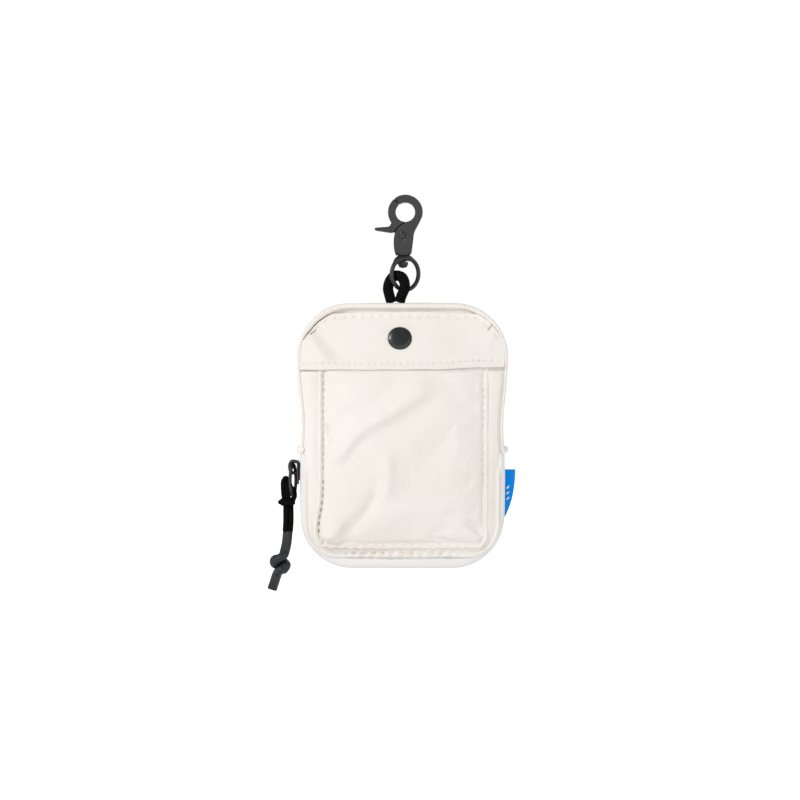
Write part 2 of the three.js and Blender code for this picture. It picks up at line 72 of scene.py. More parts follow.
# The pouch's outline
BACK_LOW, BACK_HIGH = box_mm("back_panel")
CENTRE = (BACK_LOW.x + BACK_HIGH.x) / 2
HALF_TOP = (BACK_HIGH.x - BACK_LOW.x) / 2
LOWER_LOW, LOWER_HIGH = box_mm("gusset_bottom")
HALF_LOW = (LOWER_HIGH.x - LOWER_LOW.x) / 2 - 0.6
TOP, BOTTOM = BACK_HIGH.z, BACK_LOW.z
BACK_Y = BACK_LOW.y
TOP_RADIUS = 26.5
BOTTOM_RADIUS = 26.0
FOLD_Z = LOWER_HIGH.z
WAIST_Z = FOLD_Z + 15
WAIST_DEPTH = 1.7
WAIST_SPREAD = 17.0
BACK_SEAM = 3.4
BACK_STITCH = 3.2
CLOTH = 0.9

# The front panel and the seams round it
PANEL_Y = box_mm("front_panel_lower")[0].y
PANEL_RADIUS = 16.5
PANEL_SEAM = 2.2
PANEL_STITCH = 3.6
RUFFLE = 4.9
SEAM_TOP_Y = -6.5
SEAM_FRONT_Y = box_mm("gusset_top")[0].y
SEAM_BEND_Z = box_mm("front_panel_upper")[1].z

# The zip
ZIP_Y = (box_mm("zip_coil_front")[0].y + box_mm("zip_coil_rear")[1].y) / 2
TAPE_LEFT, TAPE_BOTTOM, TAPE_RIGHT = 2.2, 5.6, 2.6
TAPE_CHEVRON = 1.1
TAPE_THREAD = 0.95

# The lip
LIP_LOW, LIP_HIGH = box_mm("mouth_lip")
LIP_TOP = LIP_HIGH.z + 0.8
LIP_HEM = LIP_LOW.z + 0.1
LIP_HALF = 50.6
LIP_SWELL = (4.6, 5.2)
LIP_Y = -9.2
LIP_THICK = 0.9
LIP_EDGE_STITCH = 4.7
LIP_HEM_STITCH = 3.25
LIP_EDGE_SEAM = 2.3
LIP_HEM_SEAM = 3.2

# The pocket
POCKET_LOW, POCKET_HIGH = box_mm("pocket_lower")
POCKET_TOP = box_mm("pocket_upper")[1].z
POCKET_BOTTOM = POCKET_LOW.z - 1.3
POCKET_LEFT, POCKET_RIGHT = POCKET_LOW.x - 0.6, POCKET_HIGH.x + 0.4
POCKET_RADIUS = 7.0
POCKET_RISE = 4.7
POCKET_SEAM = 2.6
SIDE_STITCH = 3.5
LOW_STITCH = 4.6
# Below this height the pocket's left stitches are in the darker thread
DARK_STITCH_Z = FOLD_Z - 11

# Folds: both ends as (across, up), the width and height, and the steep side's share of the width.
# The lip's are measured from the middle of its hem, the pocket's from its lower left corner.
# A height below 0 is a hollow.
LIP_FOLDS = [
    ((-48.5, 19.4), (-37.0, 3.9), 4.4, 1.5, 0.75),
    ((-43.5, 21.4), (-31.5, 7.4), 3.4, -0.5, 1.0),
    ((47.5, 23.4), (41.5, 8.4), 4.0, 0.6, 0.5),
]
POCKET_FOLDS = [
    ((55.5, 79.0), (33.5, 64.5), 6.5, 2.7, 0.65),
    ((33.5, 64.5), (19.5, 56.5), 6.0, 2.7, 0.6),
    ((19.5, 56.5), (9.0, 43.0), 5.5, 2.2, 0.65),
    ((65.8, 72.6), (45.8, 47.6), 5.5, 0.9, 0.8),
    ((35.5, 46.0), (34.0, 24.0), 4.2, 1.6, 0.8),
    ((12.0, 12.0), (6.1, 1.0), 4.6, 1.9, 0.5),
    ((15.5, 7.5), (23.0, 15.0), 3.4, -1.8, 1.0),
    ((23.0, 15.0), (29.0, 25.0), 3.4, -2.1, 1.0),
    ((29.0, 25.0), (30.0, 34.0), 3.2, -0.9, 1.0),
    ((4.5, 59.5), (9.0, 51.5), 2.6, -1.8, 1.0),
    ((82.0, 6.0), (74.5, 12.0), 1.9, -2.0, 1.0),
    ((74.5, 12.0), (64.5, 17.2), 2.4, -0.8, 1.0),
    ((74.0, 0.4), (57.5, 4.0), 1.4, -0.8, 1.0),
]

# How long the pocket's cloth settles
SETTLING_FRAMES = 20

# The cords
LOOP_ROUTE = [
    (-7.0, -1.4, -50.2), (-8.0, -0.9, -46.8), (-8.7, -0.3, -43.4), (-8, -0.1, -40),
    (-6.2, -0.9, -37.5), (-3.9, -2.3, -36.9), (-1.6, -3.8, -38), (-0.4, -4.7, -40.8),
    (-0.6, -4.7, -44), (-2.0, -4, -47.2), (-2.9, -3.4, -50.2),
]
LOOP_THICK = 5.4
PULLER_ROUTE = [
    (-57.5, -7.8, -165), (-57.2, -7.8, -160), (-57.2, -7.7, -155), (-57.2, -7.6, -151.6),
    (-56.3, -7.6, -149.4), (-55.5, -7.8, -147.2), (-55.9, -8, -144.8), (-57.4, -8.1, -142.9),
    (-58.4, -8.1, -140.4), (-59.7, -8.2, -138.6), (-60.9, -8.4, -140.2), (-61.0, -8.5, -143.6),
    (-60.6, -8.5, -147.6), (-59.8, -8.3, -151.6), (-59.8, -8.2, -155), (-59.8, -8.2, -160),
    (-60.1, -8.2, -165),
]
PULLER_THICK = 2.7
PULLER_Y = -8.0
WRAP_CENTRE = (-59.0, PULLER_Y, -150.0)
STUB_ROUTE = [(-60.4, -10.4, -148.9), (-61.8, -10.9, -149.9), (-63.3, -11, -151.0)]
TURN_ROUTE = [(-58.3, -9.2, -151.0), (-58.6, -9.4, -147.6), (-58.8, -9.2, -144), (-58.9, -8.6, -141.2)]
SLEEVE_ROUTE = [(-58.7, -165.0), (-59.3, -171.0), (-60.4, -175.6)]
KNOT_CENTRE = (-62.6, -181.2)
TAIL_ROUTE = [(-63.9, -186.0), (-65.2, -190.0), (-66.6, -194.2)]
SLEEVE_RADIUS = 2.75

# The hardware: each casting's voxel size, and how often it is smoothed
CASTINGS = {
    "hook_body": (0.2, 3),
    "hook_gate": (0.2, 3),
    "swivel_post": (0.16, 2),
    "gate_pin": (0.14, 2),
    "gate_spring": (0.08, 1),
    "slider_body": (0.13, 2),
}
RING_WIRE = 1.1
RING_TURN = math.radians(44)
RING_LEAN = math.radians(11)
PULL_TURN = math.radians(70)
PULL_WIRE = (1.1, 0.8)

# The picture
IMAGE_WIDTH = 400.0
AIM = (-2.7, -8.0, -99.4)
LENS = 100.0
SENSOR = 36.0

FLOOR_Z = -0.8
FLOOR_SIZE = 40.0
SKY_OVERHEAD = 0.3
LIGHTS = {
    "key": ((-0.8, -0.8, 0.75), 0.3, 9.5),
    "fill": ((0.9, -0.7, 0.1), 0.8, 1.4),
    "back": ((0.5, 0.9, 0.6), 0.5, 6.0),
}
LIT_PLACE = (0, 0, -0.1)


def smooth(t):
    t = min(1.0, max(0.0, t))
    return t * t * (3 - 2 * t)


def between(a, b, t):
    return a + (b - a) * t


def bell(off, spread):
    """1 in the middle, falling away smoothly to 0 on both sides."""
    return math.exp(-((off / spread) ** 2))


def angles(count):
    return [2 * math.pi * k / count for k in range(count)]


# --- camera, light


def link(thing):
    bpy.context.scene.collection.objects.link(thing)


def camera():
    data = bpy.data.cameras.new("camera")
    data.lens = LENS
    data.sensor_width = SENSOR
    data.clip_end = 20
    eye = bpy.data.objects.new("camera", data)
    distance = IMAGE_WIDTH * LENS / SENSOR
    eye.location = Vector((AIM[0], AIM[1] - distance, AIM[2])) * MM
    eye.rotation_euler = (math.pi / 2, 0, 0)
    link(eye)
    bpy.context.scene.camera = eye


def area_light(name, place, size, power):
    data = bpy.data.lights.new(name, "AREA")
    data.shape = "DISK"
    data.size = size
    data.energy = power
    light = bpy.data.objects.new(name, data)
    light.location = place
    light.rotation_euler = (Vector(LIT_PLACE) - Vector(place)).to_track_quat("-Z", "Y").to_euler()
    link(light)


def fill(tree, node, sockets):
    """Sets each of a node's sockets to its number, or links it to its node value."""
    for name, value in sockets.items():
        if isinstance(value, bpy.types.NodeSocket):
            tree.links.new(value, node.inputs[name])
        else:
            node.inputs[name].default_value = value


def add_node(tree, kind, sockets=None, **settings):
    """A new node in a tree, with its settings made and its sockets filled."""
    node = tree.nodes.new(f"ShaderNode{kind}")
    for name, value in settings.items():
        setattr(node, name, value)
    fill(tree, node, sockets or {})
    return node


def fade(tree, value, start, end, low, high):
    """A smooth change from low to high as a node value goes from start to end."""
    sockets = {"Value": value, "From Min": start, "From Max": end, "To Min": low, "To Max": high}
    return add_node(tree, "MapRange", sockets, interpolation_type="SMOOTHSTEP").outputs["Result"]


def sky():
    """A plain studio surround, white at the horizon and dimmer overhead."""
    world = bpy.data.worlds.new("studio")
    world.use_nodes = True
    tree = world.node_tree
    way = add_node(tree, "TexCoord").outputs["Generated"]
    height = add_node(tree, "SeparateXYZ", {0: way}).outputs["Z"]
    strength = fade(tree, height, 0.19, 0.4, 1.0, SKY_OVERHEAD)
    fill(tree, tree.nodes["Background"], {"Color": (1, 1, 1, 1), "Strength": strength})
    bpy.context.scene.world = world


def floor():
    """A pale floor that glows, faintly near the object and fully away from it, so that it fades to white.
    """
    place = (0, 0, FLOOR_Z)
    bpy.ops.mesh.primitive_grid_add(x_subdivisions=4, y_subdivisions=4, size=FLOOR_SIZE, location=place)
    plane = bpy.context.object
    plane.name = "floor"
    pale = Paint("floor", 0.9)
    distance = add_node(pale.tree, "VectorMath", {0: pale.place}, operation="LENGTH").outputs["Value"]
    glow = fade(pale.tree, distance, 0.8, 2.6, 0.2, 1.0)
    pale.put({"Base Color": (0.9, 0.9, 0.9, 1), "Emission Color": (1, 1, 1, 1), "Emission Strength": glow})
    plane.data.materials.append(pale.material)


def studio():
    for name, (place, size, power) in LIGHTS.items():
        area_light(name, place, size, power)
    bpy.context.scene.view_settings.view_transform = "Standard"
    sky()
    floor()


# --- materials


class Paint:
    """A node material under construction."""

    def __init__(self, name, rough, metal=0.0, specular=0.5):
        self.material = bpy.data.materials.new(name)
        self.material.use_nodes = True
        self.tree = self.material.node_tree
        self.put({"Roughness": rough, "Metallic": metal, "Specular IOR Level": specular})
        where = add_node(self.tree, "TexCoord").outputs
        self.place = where["Object"]
        self.facing = where["Normal"]

    def put(self, sockets):
        """Fills sockets of the material's own shader."""
        fill(self.tree, self.tree.nodes["Principled BSDF"], sockets)

    def noise(self, scale, detail=3.0):
        sockets = {"Scale": scale, "Detail": detail, "Vector": self.place}
        return add_node(self.tree, "TexNoise", sockets).outputs["Fac"]

    def wave(self, period, direction, distortion=0.4):
        scale = math.pi / (10 * period * MM)
        sockets = {"Scale": scale, "Distortion": distortion, "Detail": 1.0, "Vector": self.place}
        return add_node(self.tree, "TexWave", sockets, bands_direction=direction).outputs["Fac"]

    def maths(self, kind, *values):
        return add_node(self.tree, "Math", dict(enumerate(values)), operation=kind).outputs[0]

    def mix(self, a, b, share):
        """share of a and the rest of b."""
        return self.maths("ADD", self.maths("MULTIPLY", a, share), self.maths("MULTIPLY", b, 1 - share))

    def apart(self, vector):
        return add_node(self.tree, "SeparateXYZ", {0: vector}).outputs

    def colours(self, value, stops):
        node = add_node(self.tree, "ValToRGB", {"Fac": value})
        ramp = node.color_ramp
        for element, (at, colour) in zip(ramp.elements, stops):
            element.position = at
            element.color = (*colour, 1)
        self.put({"Base Color": node.outputs["Color"]})

    def roughen(self, value, low, high):
        node = add_node(self.tree, "MapRange", {"Value": value, "To Min": low, "To Max": high})
        self.put({"Roughness": node.outputs["Result"]})

    def bump(self, value, strength, depth):
        sockets = {"Height": value, "Strength": strength, "Distance": depth * MM}
        self.put({"Normal": add_node(self.tree, "Bump", sockets).outputs["Normal"]})


def cloth_paint(name, light, dark, weave, strength=0.35):
    """Plain weave, with a thread every weave mm and faint patches of tone."""
    paint = Paint(name, 0.85)
    threads = paint.maths("MULTIPLY", paint.wave(weave, "X"), paint.wave(weave, "Z"))
    fibres = paint.noise(1500)
    patches = paint.noise(28)
    paint.bump(paint.maths("ADD", threads, fibres), strength, 0.09)
    paint.colours(paint.mix(threads, patches, 0.25), [(0.25, dark), (0.65, light)])
    paint.roughen(fibres, 0.78, 0.95)
    paint.put({"Sheen Weight": 0.12, "Sheen Roughness": 0.5})
    return paint.material


def tape_paint():
    """Zip tape: fine chevrons of thread that turn back every few threads."""
    paint = Paint("zip_tape", 0.85)
    place = paint.apart(paint.place)
    across = paint.maths("PINGPONG", place["X"], TAPE_CHEVRON * MM)
    slant = paint.maths("ADD", place["Z"], across)
    turn = paint.maths("MULTIPLY", slant, 2 * math.pi / (TAPE_THREAD * MM))
    threads = paint.maths("ADD", paint.maths("MULTIPLY", paint.maths("SINE", turn), 0.5), 0.5)
    fibres = paint.noise(1500)
    paint.bump(paint.maths("ADD", threads, fibres), 0.7, 0.12)
    paint.colours(threads, [(0.1, (0.74, 0.727, 0.705)), (0.8, (0.87, 0.86, 0.85))])
    paint.roughen(fibres, 0.78, 0.95)
    return paint.material


def metal_paint():
    """Black plating, painted lighter on the faces that look to the front or back than on the sides of a
    casting: painted light and shade, mixed with random wear.
    """
    paint = Paint("black_metal", 0.42, 0.3, specular=0.35)
    grain = paint.noise(900)
    wear = paint.noise(160, 5)
    # Painted light and shade: faces that look to the front or back come out lighter, the sides darker.
    face = paint.maths("ABSOLUTE", paint.apart(paint.facing)["Y"])
    painted_shade_and_wear = [(0.45, (0.005, 0.005, 0.005)), (0.88, (0.044, 0.044, 0.044))]
    paint.colours(paint.mix(face, wear, 0.75), painted_shade_and_wear)
    paint.roughen(grain, 0.30, 0.48)
    paint.bump(grain, 0.12, 0.04)
    return paint.material


# Bright metal for the painted highlights on the gate pin's ends.
def glint_paint():
    paint = Paint("painted_glint_metal", 0.4, 0.9)
    grain = paint.noise(900)
    paint.colours(grain, [(0.3, (0.35, 0.35, 0.35)), (0.7, (0.55, 0.55, 0.54))])
    paint.roughen(grain, 0.3, 0.5)
    return paint.material


def cap_paint():
    paint = Paint("snap_gloss", 0.3, 0.2)
    grain = paint.noise(300)
    paint.colours(grain, [(0.3, (0.014, 0.016, 0.016)), (0.7, (0.024, 0.026, 0.026))])
    paint.roughen(grain, 0.26, 0.36)
    paint.put({"Coat Weight": 0.15})
    return paint.material


def cord_paint():
    paint = Paint("black_cord", 0.8, specular=0.03)
    braid = paint.wave(0.9, "DIAGONAL", 1.0)
    fibres = paint.noise(2200)
    paint.bump(paint.maths("ADD", braid, fibres), 0.6, 0.12)
    paint.colours(braid, [(0.2, (0.002, 0.002, 0.002)), (0.9, (0.008, 0.008, 0.008))])
    paint.roughen(fibres, 0.65, 0.9)
    return paint.material


def sleeve_paint():
    paint = Paint("grey_sleeve", 0.5, specular=0.3)
    grain = paint.noise(700)
    patches = paint.noise(120)
    paint.colours(patches, [(0.3, (0.012, 0.015, 0.016)), (0.7, (0.024, 0.028, 0.029))])
    paint.roughen(grain, 0.42, 0.62)
    paint.bump(grain, 0.15, 0.05)
    return paint.material


def label_paint():
    """Blue woven tape. Its pale stripes are threads of their own."""
    paint = Paint("label", 0.75, specular=0.1)
    threads = paint.wave(0.45, "Z")
    paint.bump(threads, 0.3, 0.08)
    paint.colours(threads, [(0.2, (0.004, 0.25, 0.80)), (0.9, (0.006, 0.29, 0.90))])
    return paint.material


def plastic_paint():
    paint = Paint("zip_coil", 0.45)
    grain = paint.noise(800)
    paint.colours(grain, [(0.3, (0.66, 0.64, 0.59)), (0.7, (0.74, 0.72, 0.68))])
    paint.roughen(grain, 0.38, 0.55)
    return paint.material


CANVAS = cloth_paint("canvas", (0.825, 0.785, 0.74), (0.78, 0.735, 0.68), 0.9, strength=0.6)
TAPE = tape_paint()
# Tan thread, made darker than its own colour to stand for the shade in its needle holes: partly painted
# shade.
THREAD = cloth_paint("thread", (0.60, 0.49, 0.38), (0.50, 0.40, 0.30), 0.5)
PALE_THREAD = cloth_paint("pale_thread", (0.74, 0.68, 0.61), (0.68, 0.61, 0.54), 0.5)
METAL = metal_paint()
GLINT = glint_paint()
GLOSS = cap_paint()
CORD = cord_paint()
SLEEVE = sleeve_paint()
LABEL = label_paint()
STRIPE = cloth_paint("label_stripe", (0.93, 0.94, 0.95), (0.90, 0.92, 0.94), 0.45)
PLASTIC = plastic_paint()


# --- mesh helpers


def make(name, points, faces, material, slot):
    mesh = bpy.data.meshes.new(name)
    mesh.from_pydata([(x * MM, y * MM, z * MM) for x, y, z in points], [], faces)
    mesh.materials.append(material)
    mesh.validate()
    mesh.update()
    mesh.shade_smooth()
    piece = bpy.data.objects.new(name, mesh)
    link(piece)
    turn_out(piece)
    return piece


def turn_out(piece):
    """Makes a closed mesh's faces point outwards."""
    bpy.context.view_layer.objects.active = piece
    piece.select_set(True)
    bpy.ops.object.mode_set(mode="EDIT")
    bpy.ops.mesh.select_all(action="SELECT")
    bpy.ops.mesh.normals_make_consistent(inside=False)
    bpy.ops.object.mode_set(mode="OBJECT")
    piece.select_set(False)


def loft(rings, closed=False):
    """Faces and points for rings of equal size, capped unless the rings close on themselves."""
    size = len(rings[0])
    points = [p for ring in rings for p in ring]
    faces = []
    count = len(rings)
    for i in range(count if closed else count - 1):
        a, b = i * size, ((i + 1) % count) * size
        for k in range(size):
            n = (k + 1) % size
            faces.append((a + k, a + n, b + n, b + k))
    if not closed:
        faces.append(tuple(range(size - 1, -1, -1)))
        faces.append(tuple(range((count - 1) * size, count * size)))
    return points, faces


def shell(name, grid, thick, material, slot):
    """A closed sheet from a grid of front points, with its back a cloth's thickness behind."""
    rows, columns = grid.shape[:2]
    back = grid + np.array([0, thick, 0])
    points = [tuple(p) for p in grid.reshape(-1, 3)] + [tuple(p) for p in back.reshape(-1, 3)]
    shift = rows * columns
    faces = []
    for r in range(rows - 1):
        for c in range(columns - 1):
            a = r * columns + c
            quad = (a, a + 1, a + columns + 1, a + columns)
            faces.append(quad)
            faces.append(tuple(i + shift for i in reversed(quad)))
    rim = list(range(columns))
    rim += [r * columns + columns - 1 for r in range(1, rows)]
    rim += [(rows - 1) * columns + c for c in range(columns - 2, -1, -1)]
    rim += [r * columns for r in range(rows - 2, 0, -1)]
    for a, b in zip(rim, rim[1:] + rim[:1]):
        faces.append((b, a, a + shift, b + shift))
    return make(name, points, faces, material, slot)


def even(start, end, count, pull=0.35):
    """Values from start to end, closer together near both ends."""
    ts = [i / (count - 1) for i in range(count)]
    return [between(start, end, between(t, 0.5 - 0.5 * math.cos(math.pi * t), pull)) for t in ts]


def cloth_grid(zs, columns, span, surface, pull=0.35):
    """Points of a cloth: span(z) gives its left and right, and surface(x, z) its y."""
    grid = np.zeros((len(zs), columns, 3))
    for r, z in enumerate(zs):
        for c, x in enumerate(even(*span(z), columns, pull)):
            grid[r, c] = (x, surface(x, z), z)
    return grid


def crease_middle(piece):
    """Keeps the shading of two halves that meet at the centre apart from their hidden side walls."""
    mesh = piece.data
    on_middle = [abs(v.co.x / MM - CENTRE) < 0.01 for v in mesh.vertices]
    sharp = mesh.attributes.new("sharp_edge", "BOOLEAN", "EDGE")
    for edge in mesh.edges:
        a, b = edge.vertices
        sharp.data[edge.index].value = on_middle[a] and on_middle[b]


def catmull(route, per_span):
    """A smooth line through a route's points."""
    points = [Vector(p) for p in route]
    ends = [points[0] * 2 - points[1]] + points + [points[-1] * 2 - points[-2]]
    line = []
    for a, b, c, d in zip(ends, ends[1:], ends[2:], ends[3:]):
        for i in range(per_span):
            t = i / per_span
            line.append(
                (b * 2 + (c - a) * t + (a * 2 - b * 5 + c * 4 - d) * t ** 2
                 + (b * 3 - a - c * 3 + d) * t ** 3) / 2
            )
    line.append(points[-1])
    return line


def oval(centre, across, up, half_across, half_up, sides):
    """Points round an oval, from its centre and two directions."""
    return [
        tuple(centre + across * (half_across * math.cos(a)) + up * (half_up * math.sin(a)))
        for a in angles(sides)
    ]


def tube(name, line, radius, material, slot, sides):
    """A tube round a line. radius is a function of (share along, angle)."""
    rings = []
    last = len(line) - 1
    side = (line[1] - line[0]).orthogonal()
    for i, p in enumerate(line):
        ahead = (line[min(i + 1, last)] - line[max(i - 1, 0)]).normalized()
        side = (side - ahead * side.dot(ahead)).normalized()
        other = ahead.cross(side)
        ring = []
        for a in angles(sides):
            r = radius(i / last, a)
            ring.append(tuple(p + side * (r * math.cos(a)) + other * (r * math.sin(a))))
        rings.append(ring)
    return make(name, *loft(rings), material, slot)


def join_shapes(shapes):
    """One list of points and faces from several."""
    points, faces = [], []
    for own_points, own_faces in shapes:
        shift = len(points)
        points += own_points
        faces += [tuple(i + shift for i in face) for face in own_faces]
    return points, faces


def capsule(start, end, radius, sides=8):
    """A short thread from start to end, with round ends."""
    along = (end - start).normalized()
    side = along.orthogonal().normalized()
    other = along.cross(side)
    rings = []
    for t, share in ((0, 0.35), (0.1, 0.8), (0.3, 1), (0.7, 1), (0.9, 0.8), (1, 0.35)):
        size = radius * share
        rings.append(oval(start.lerp(end, t), side, other, size, size, sides))
    return loft(rings)


def skin(piece):
    """A tree over a piece's faces, to lay stitches on."""
    points = [piece.matrix_world @ v.co for v in piece.data.vertices]
    return BVHTree.FromPolygons(points, [tuple(p.vertices) for p in piece.data.polygons])


def on_skin(tree, x, z, behind=False):
    """The point of the skin seen from the front, or from behind, at (x, z), in millimetres."""
    way = -1 if behind else 1
    hit, _, _, _ = tree.ray_cast(Vector((x * MM, -OUTSIDE * way, z * MM)), Vector((0, way, 0)))
    return None if hit is None else hit / MM


def dent(off, along, pitch, depth):
    """How far a line of stitches pulls the cloth in, most at the needle holes."""
    return depth * bell(off, 0.85) * (0.55 + 0.45 * math.cos(2 * math.pi * along / pitch))


def stitches(name, tree, line, pitch, gap, radius, material, behind=False):
    """A run of thread over the skin along a front-view line of (x, z) points."""
    points = [Vector((x, 0, z)) for x, z in line]
    reach = [0.0]
    for a, b in zip(points, points[1:]):
        reach.append(reach[-1] + (b - a).length)

    def seen(distance):
        place = points[-1]
        for near, far, a, b in zip(reach, reach[1:], points, points[1:]):
            if distance <= far:
                place = a.lerp(b, (distance - near) / (far - near))
                break
        return on_skin(tree, place.x, place.z, behind)

    shapes = []
    for i in range(int(reach[-1] / pitch)):
        start, end = seen(i * pitch), seen((i + 1) * pitch - gap)
        if start is not None and end is not None and (end - start).length > 0.4:
            shapes.append(capsule(start, end, radius))
    return make(name, *join_shapes(shapes), material, "canvas")


# --- the outline


def corner_cut(reach, radius):
    """How much a round corner takes off a side, reach past the corner's start."""
    return radius - math.sqrt(max(0.0, radius ** 2 - min(max(reach, 0), radius) ** 2))


def depth_inside(over_x, over_z, radius):
    """How far in from a rounded edge a point is, from how far it is past the corner's centre."""
    return radius - math.hypot(max(over_x, 0), max(over_z, 0)) - min(max(over_x, over_z), 0)


class Outline:
    """The pouch's outline seen from the front."""

    def half(self, z):
        high, low = TOP - TOP_RADIUS, BOTTOM + BOTTOM_RADIUS
        waist = WAIST_DEPTH * bell(z - WAIST_Z, WAIST_SPREAD)
        return between(HALF_LOW, HALF_TOP, min(1, max(0, (z - low) / (high - low)))) - waist

    def span(self, z, inset=0.0):
        """The left and right of the outline at a height, a little inside it if asked."""
        top_cut = corner_cut(z - (TOP - TOP_RADIUS), TOP_RADIUS - inset)
        low_cut = corner_cut(BOTTOM + BOTTOM_RADIUS - z, BOTTOM_RADIUS - inset)
        reach = self.half(z) - inset - top_cut - low_cut
        return CENTRE - reach, CENTRE + reach

    def inside(self, x, z):
        """How far a point is in from the edge."""
        middle, tall = (TOP + BOTTOM) / 2, (TOP - BOTTOM) / 2
        radius = TOP_RADIUS if z > middle else BOTTOM_RADIUS
        over_x = abs(x - CENTRE) - (self.half(z) - radius)
        over_z = abs(z - middle) - (tall - radius)
        return depth_inside(over_x, over_z, radius)

    def path(self, z_side, upper, step=1.6):
        """Points (x, z, outward x, outward z) from the left side round to the right one."""
        sign = 1 if upper else -1
        radius = TOP_RADIUS if upper else BOTTOM_RADIUS
        corner_z = TOP - radius if upper else BOTTOM + radius
        half = self.half(corner_z)
        found = []
        count = max(2, int(abs(corner_z - z_side) / step))
        for i in range(count):
            z = between(z_side, corner_z, i / count)
            found.append((CENTRE - self.half(z), z, -1.0, 0.0))
        arc = int(radius * math.pi / 2 / step)
        for i in range(arc):
            a = math.pi / 2 * i / arc
            n = (-math.cos(a), sign * math.sin(a))
            found.append((CENTRE - half + radius + n[0] * radius, corner_z + n[1] * radius, *n))
        flat = int((half - radius) * 2 / step)
        edge_z = TOP if upper else BOTTOM
        for i in range(flat // 2):
            x = between(CENTRE - half + radius, CENTRE, i / (flat // 2))
            found.append((x, edge_z, 0.0, float(sign)))
        mirrored = [(2 * CENTRE - x, z, -nx, nz) for x, z, nx, nz in reversed(found)]
        return found + [(CENTRE, edge_z, 0.0, float(sign))] + mirrored


POUCH = Outline()


def bag_span(z, left, right, low, radius):
    """The left and right of a shape with round lower corners, at a height."""
    cut = corner_cut(low + radius - z, radius)
    return left + cut, right - cut


def bag_inside(x, z, left, right, low, radius):
    """How far a point is in from the edge of such a shape."""
    over_x = abs(x - (left + right) / 2) - ((right - left) / 2 - radius)
    return depth_inside(over_x, low + radius - z, radius)


def seam_y(z):
    """Where the upper walls meet the front: it leans back towards the top."""
    return between(SEAM_TOP_Y, SEAM_FRONT_Y, min(1, max(0, (TOP - z) / (TOP - SEAM_BEND_Z))))


def ripple(x, z, size, seed=0.0):
    """Slow unevenness of cloth, from -1 to 1, with waves about size mm long."""
    return noise.noise(Vector((x / size, seed, z / size)))


def sweep(name, path, profile, material, slot, closed=False):
    """profile(x, z, outward x, outward z) gives closed (inset, y) points."""
    rings = []
    for x, z, nx, nz in path:
        rings.append([(x - nx * inset, y, z - nz * inset) for inset, y in profile(x, z, nx, nz)])
    return make(name, *loft(rings, closed), material, slot)


def oval_profile(inset, y, half_inset, half_y):
    return [(inset + half_inset * math.cos(a), y + half_y * math.sin(a)) for a in angles(16)]


def wall_profile(outer, y_front, y_back, thick, swell, steps=10):
    """A wall that swells outwards between its two seams."""
    ts = [i / steps for i in range(steps + 1)]
    out = [(outer - swell * math.sin(math.pi * t), between(y_front, y_back, t)) for t in ts]
    back = [(inset + thick, y) for inset, y in reversed(out)]
    return out + back


# --- body of the pouch


def above_lip_ends(z):
    """0 where the lip's ends are sewn in, 1 where its corners stand free."""
    return smooth((z - LIP_HEM - 12.4) / 8)


def upper_walls():
    """The side walls above the zip, and the binding on the mouth's edge."""
    path = POUCH.path(FOLD_Z - 0.7, True)

    def wall(x, z, nx, nz):
        swell = 0.7 + 0.35 * ripple(x, z, 17)
        return wall_profile(0.25, seam_y(z) - 0.1, BACK_Y - 0.2, 1.0, swell)

    def rim(x, z, nx, nz):
        full = 1.5 - 0.3 * smooth((nx + 0.2) / 1.2)
        above_lip = above_lip_ends(z)
        above_hem = smooth((z - LIP_HEM + 3.6) / 6)
        width = between(0.8, between(0.95, full, above_lip), above_hem)
        deep = between(1.0, 1.5, above_hem)
        wrinkle = 0.16 * ripple(x, z, 8) * above_lip
        y = seam_y(z) - between(0.3, 1.5, above_hem)
        return oval_profile(width - 0.05, y, width + wrinkle, deep + wrinkle)

    gusset = sweep("gusset_upper_cloth", path, wall, CANVAS, "canvas")
    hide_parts("gusset_top")
    binding = sweep("rim_cloth", path, rim, CANVAS, "canvas")
    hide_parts("rim_binding")
    for piece in (gusset, binding):
        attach(piece, "pouch")


def lower_walls():
    """The side walls behind the zip, and the zip's two tapes."""
    path = POUCH.path(FOLD_Z, False)

    def wall(x, z, nx, nz):
        return wall_profile(0.2, -2.9, BACK_Y - 0.2, 1.0, 0.5 + 0.3 * ripple(x, z, 15))

    def rear_tape(x, z, nx, nz):
        return wall_profile(0.15, ZIP_Y + 0.5, -2.7, 0.6, 0.15)

    def front_tape(x, z, nx, nz):
        inset = TAPE_LEFT * max(0, -nx) ** 2 + TAPE_BOTTOM * nz ** 2 + TAPE_RIGHT * max(0, nx) ** 2
        reach = inset + 1.2
        face = PANEL_Y - 0.1
        outer = [(reach, face), (reach * 0.6, face - 0.25), (1.6, face), (0.7, face + 0.6),
                 (0.2, face + 1.6), (0.05, ZIP_Y - 2.2), (0.1, ZIP_Y - 0.5)]
        inner = [(0.75, ZIP_Y - 0.5), (0.7, ZIP_Y - 2.2), (0.85, face + 1.8), (1.3, face + 1.1),
                 (1.9, face + 0.7), (reach * 0.6, face + 0.5), (reach, face + 0.6)]
        return outer + inner

    for name, node, body, profile, material, slot in (
        ("gusset_lower_cloth", "gusset_bottom", "pouch", wall, CANVAS, "canvas"),
        ("zip_tape_rear_cloth", "zip_tape_rear", "pouch", rear_tape, TAPE, "zip_tape"),
        ("zip_tape_front_cloth", "zip_tape_front", "door", front_tape, TAPE, "zip_tape"),
    ):
        piece = sweep(name, path, profile, material, slot)
        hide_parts(node)
        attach(piece, body)


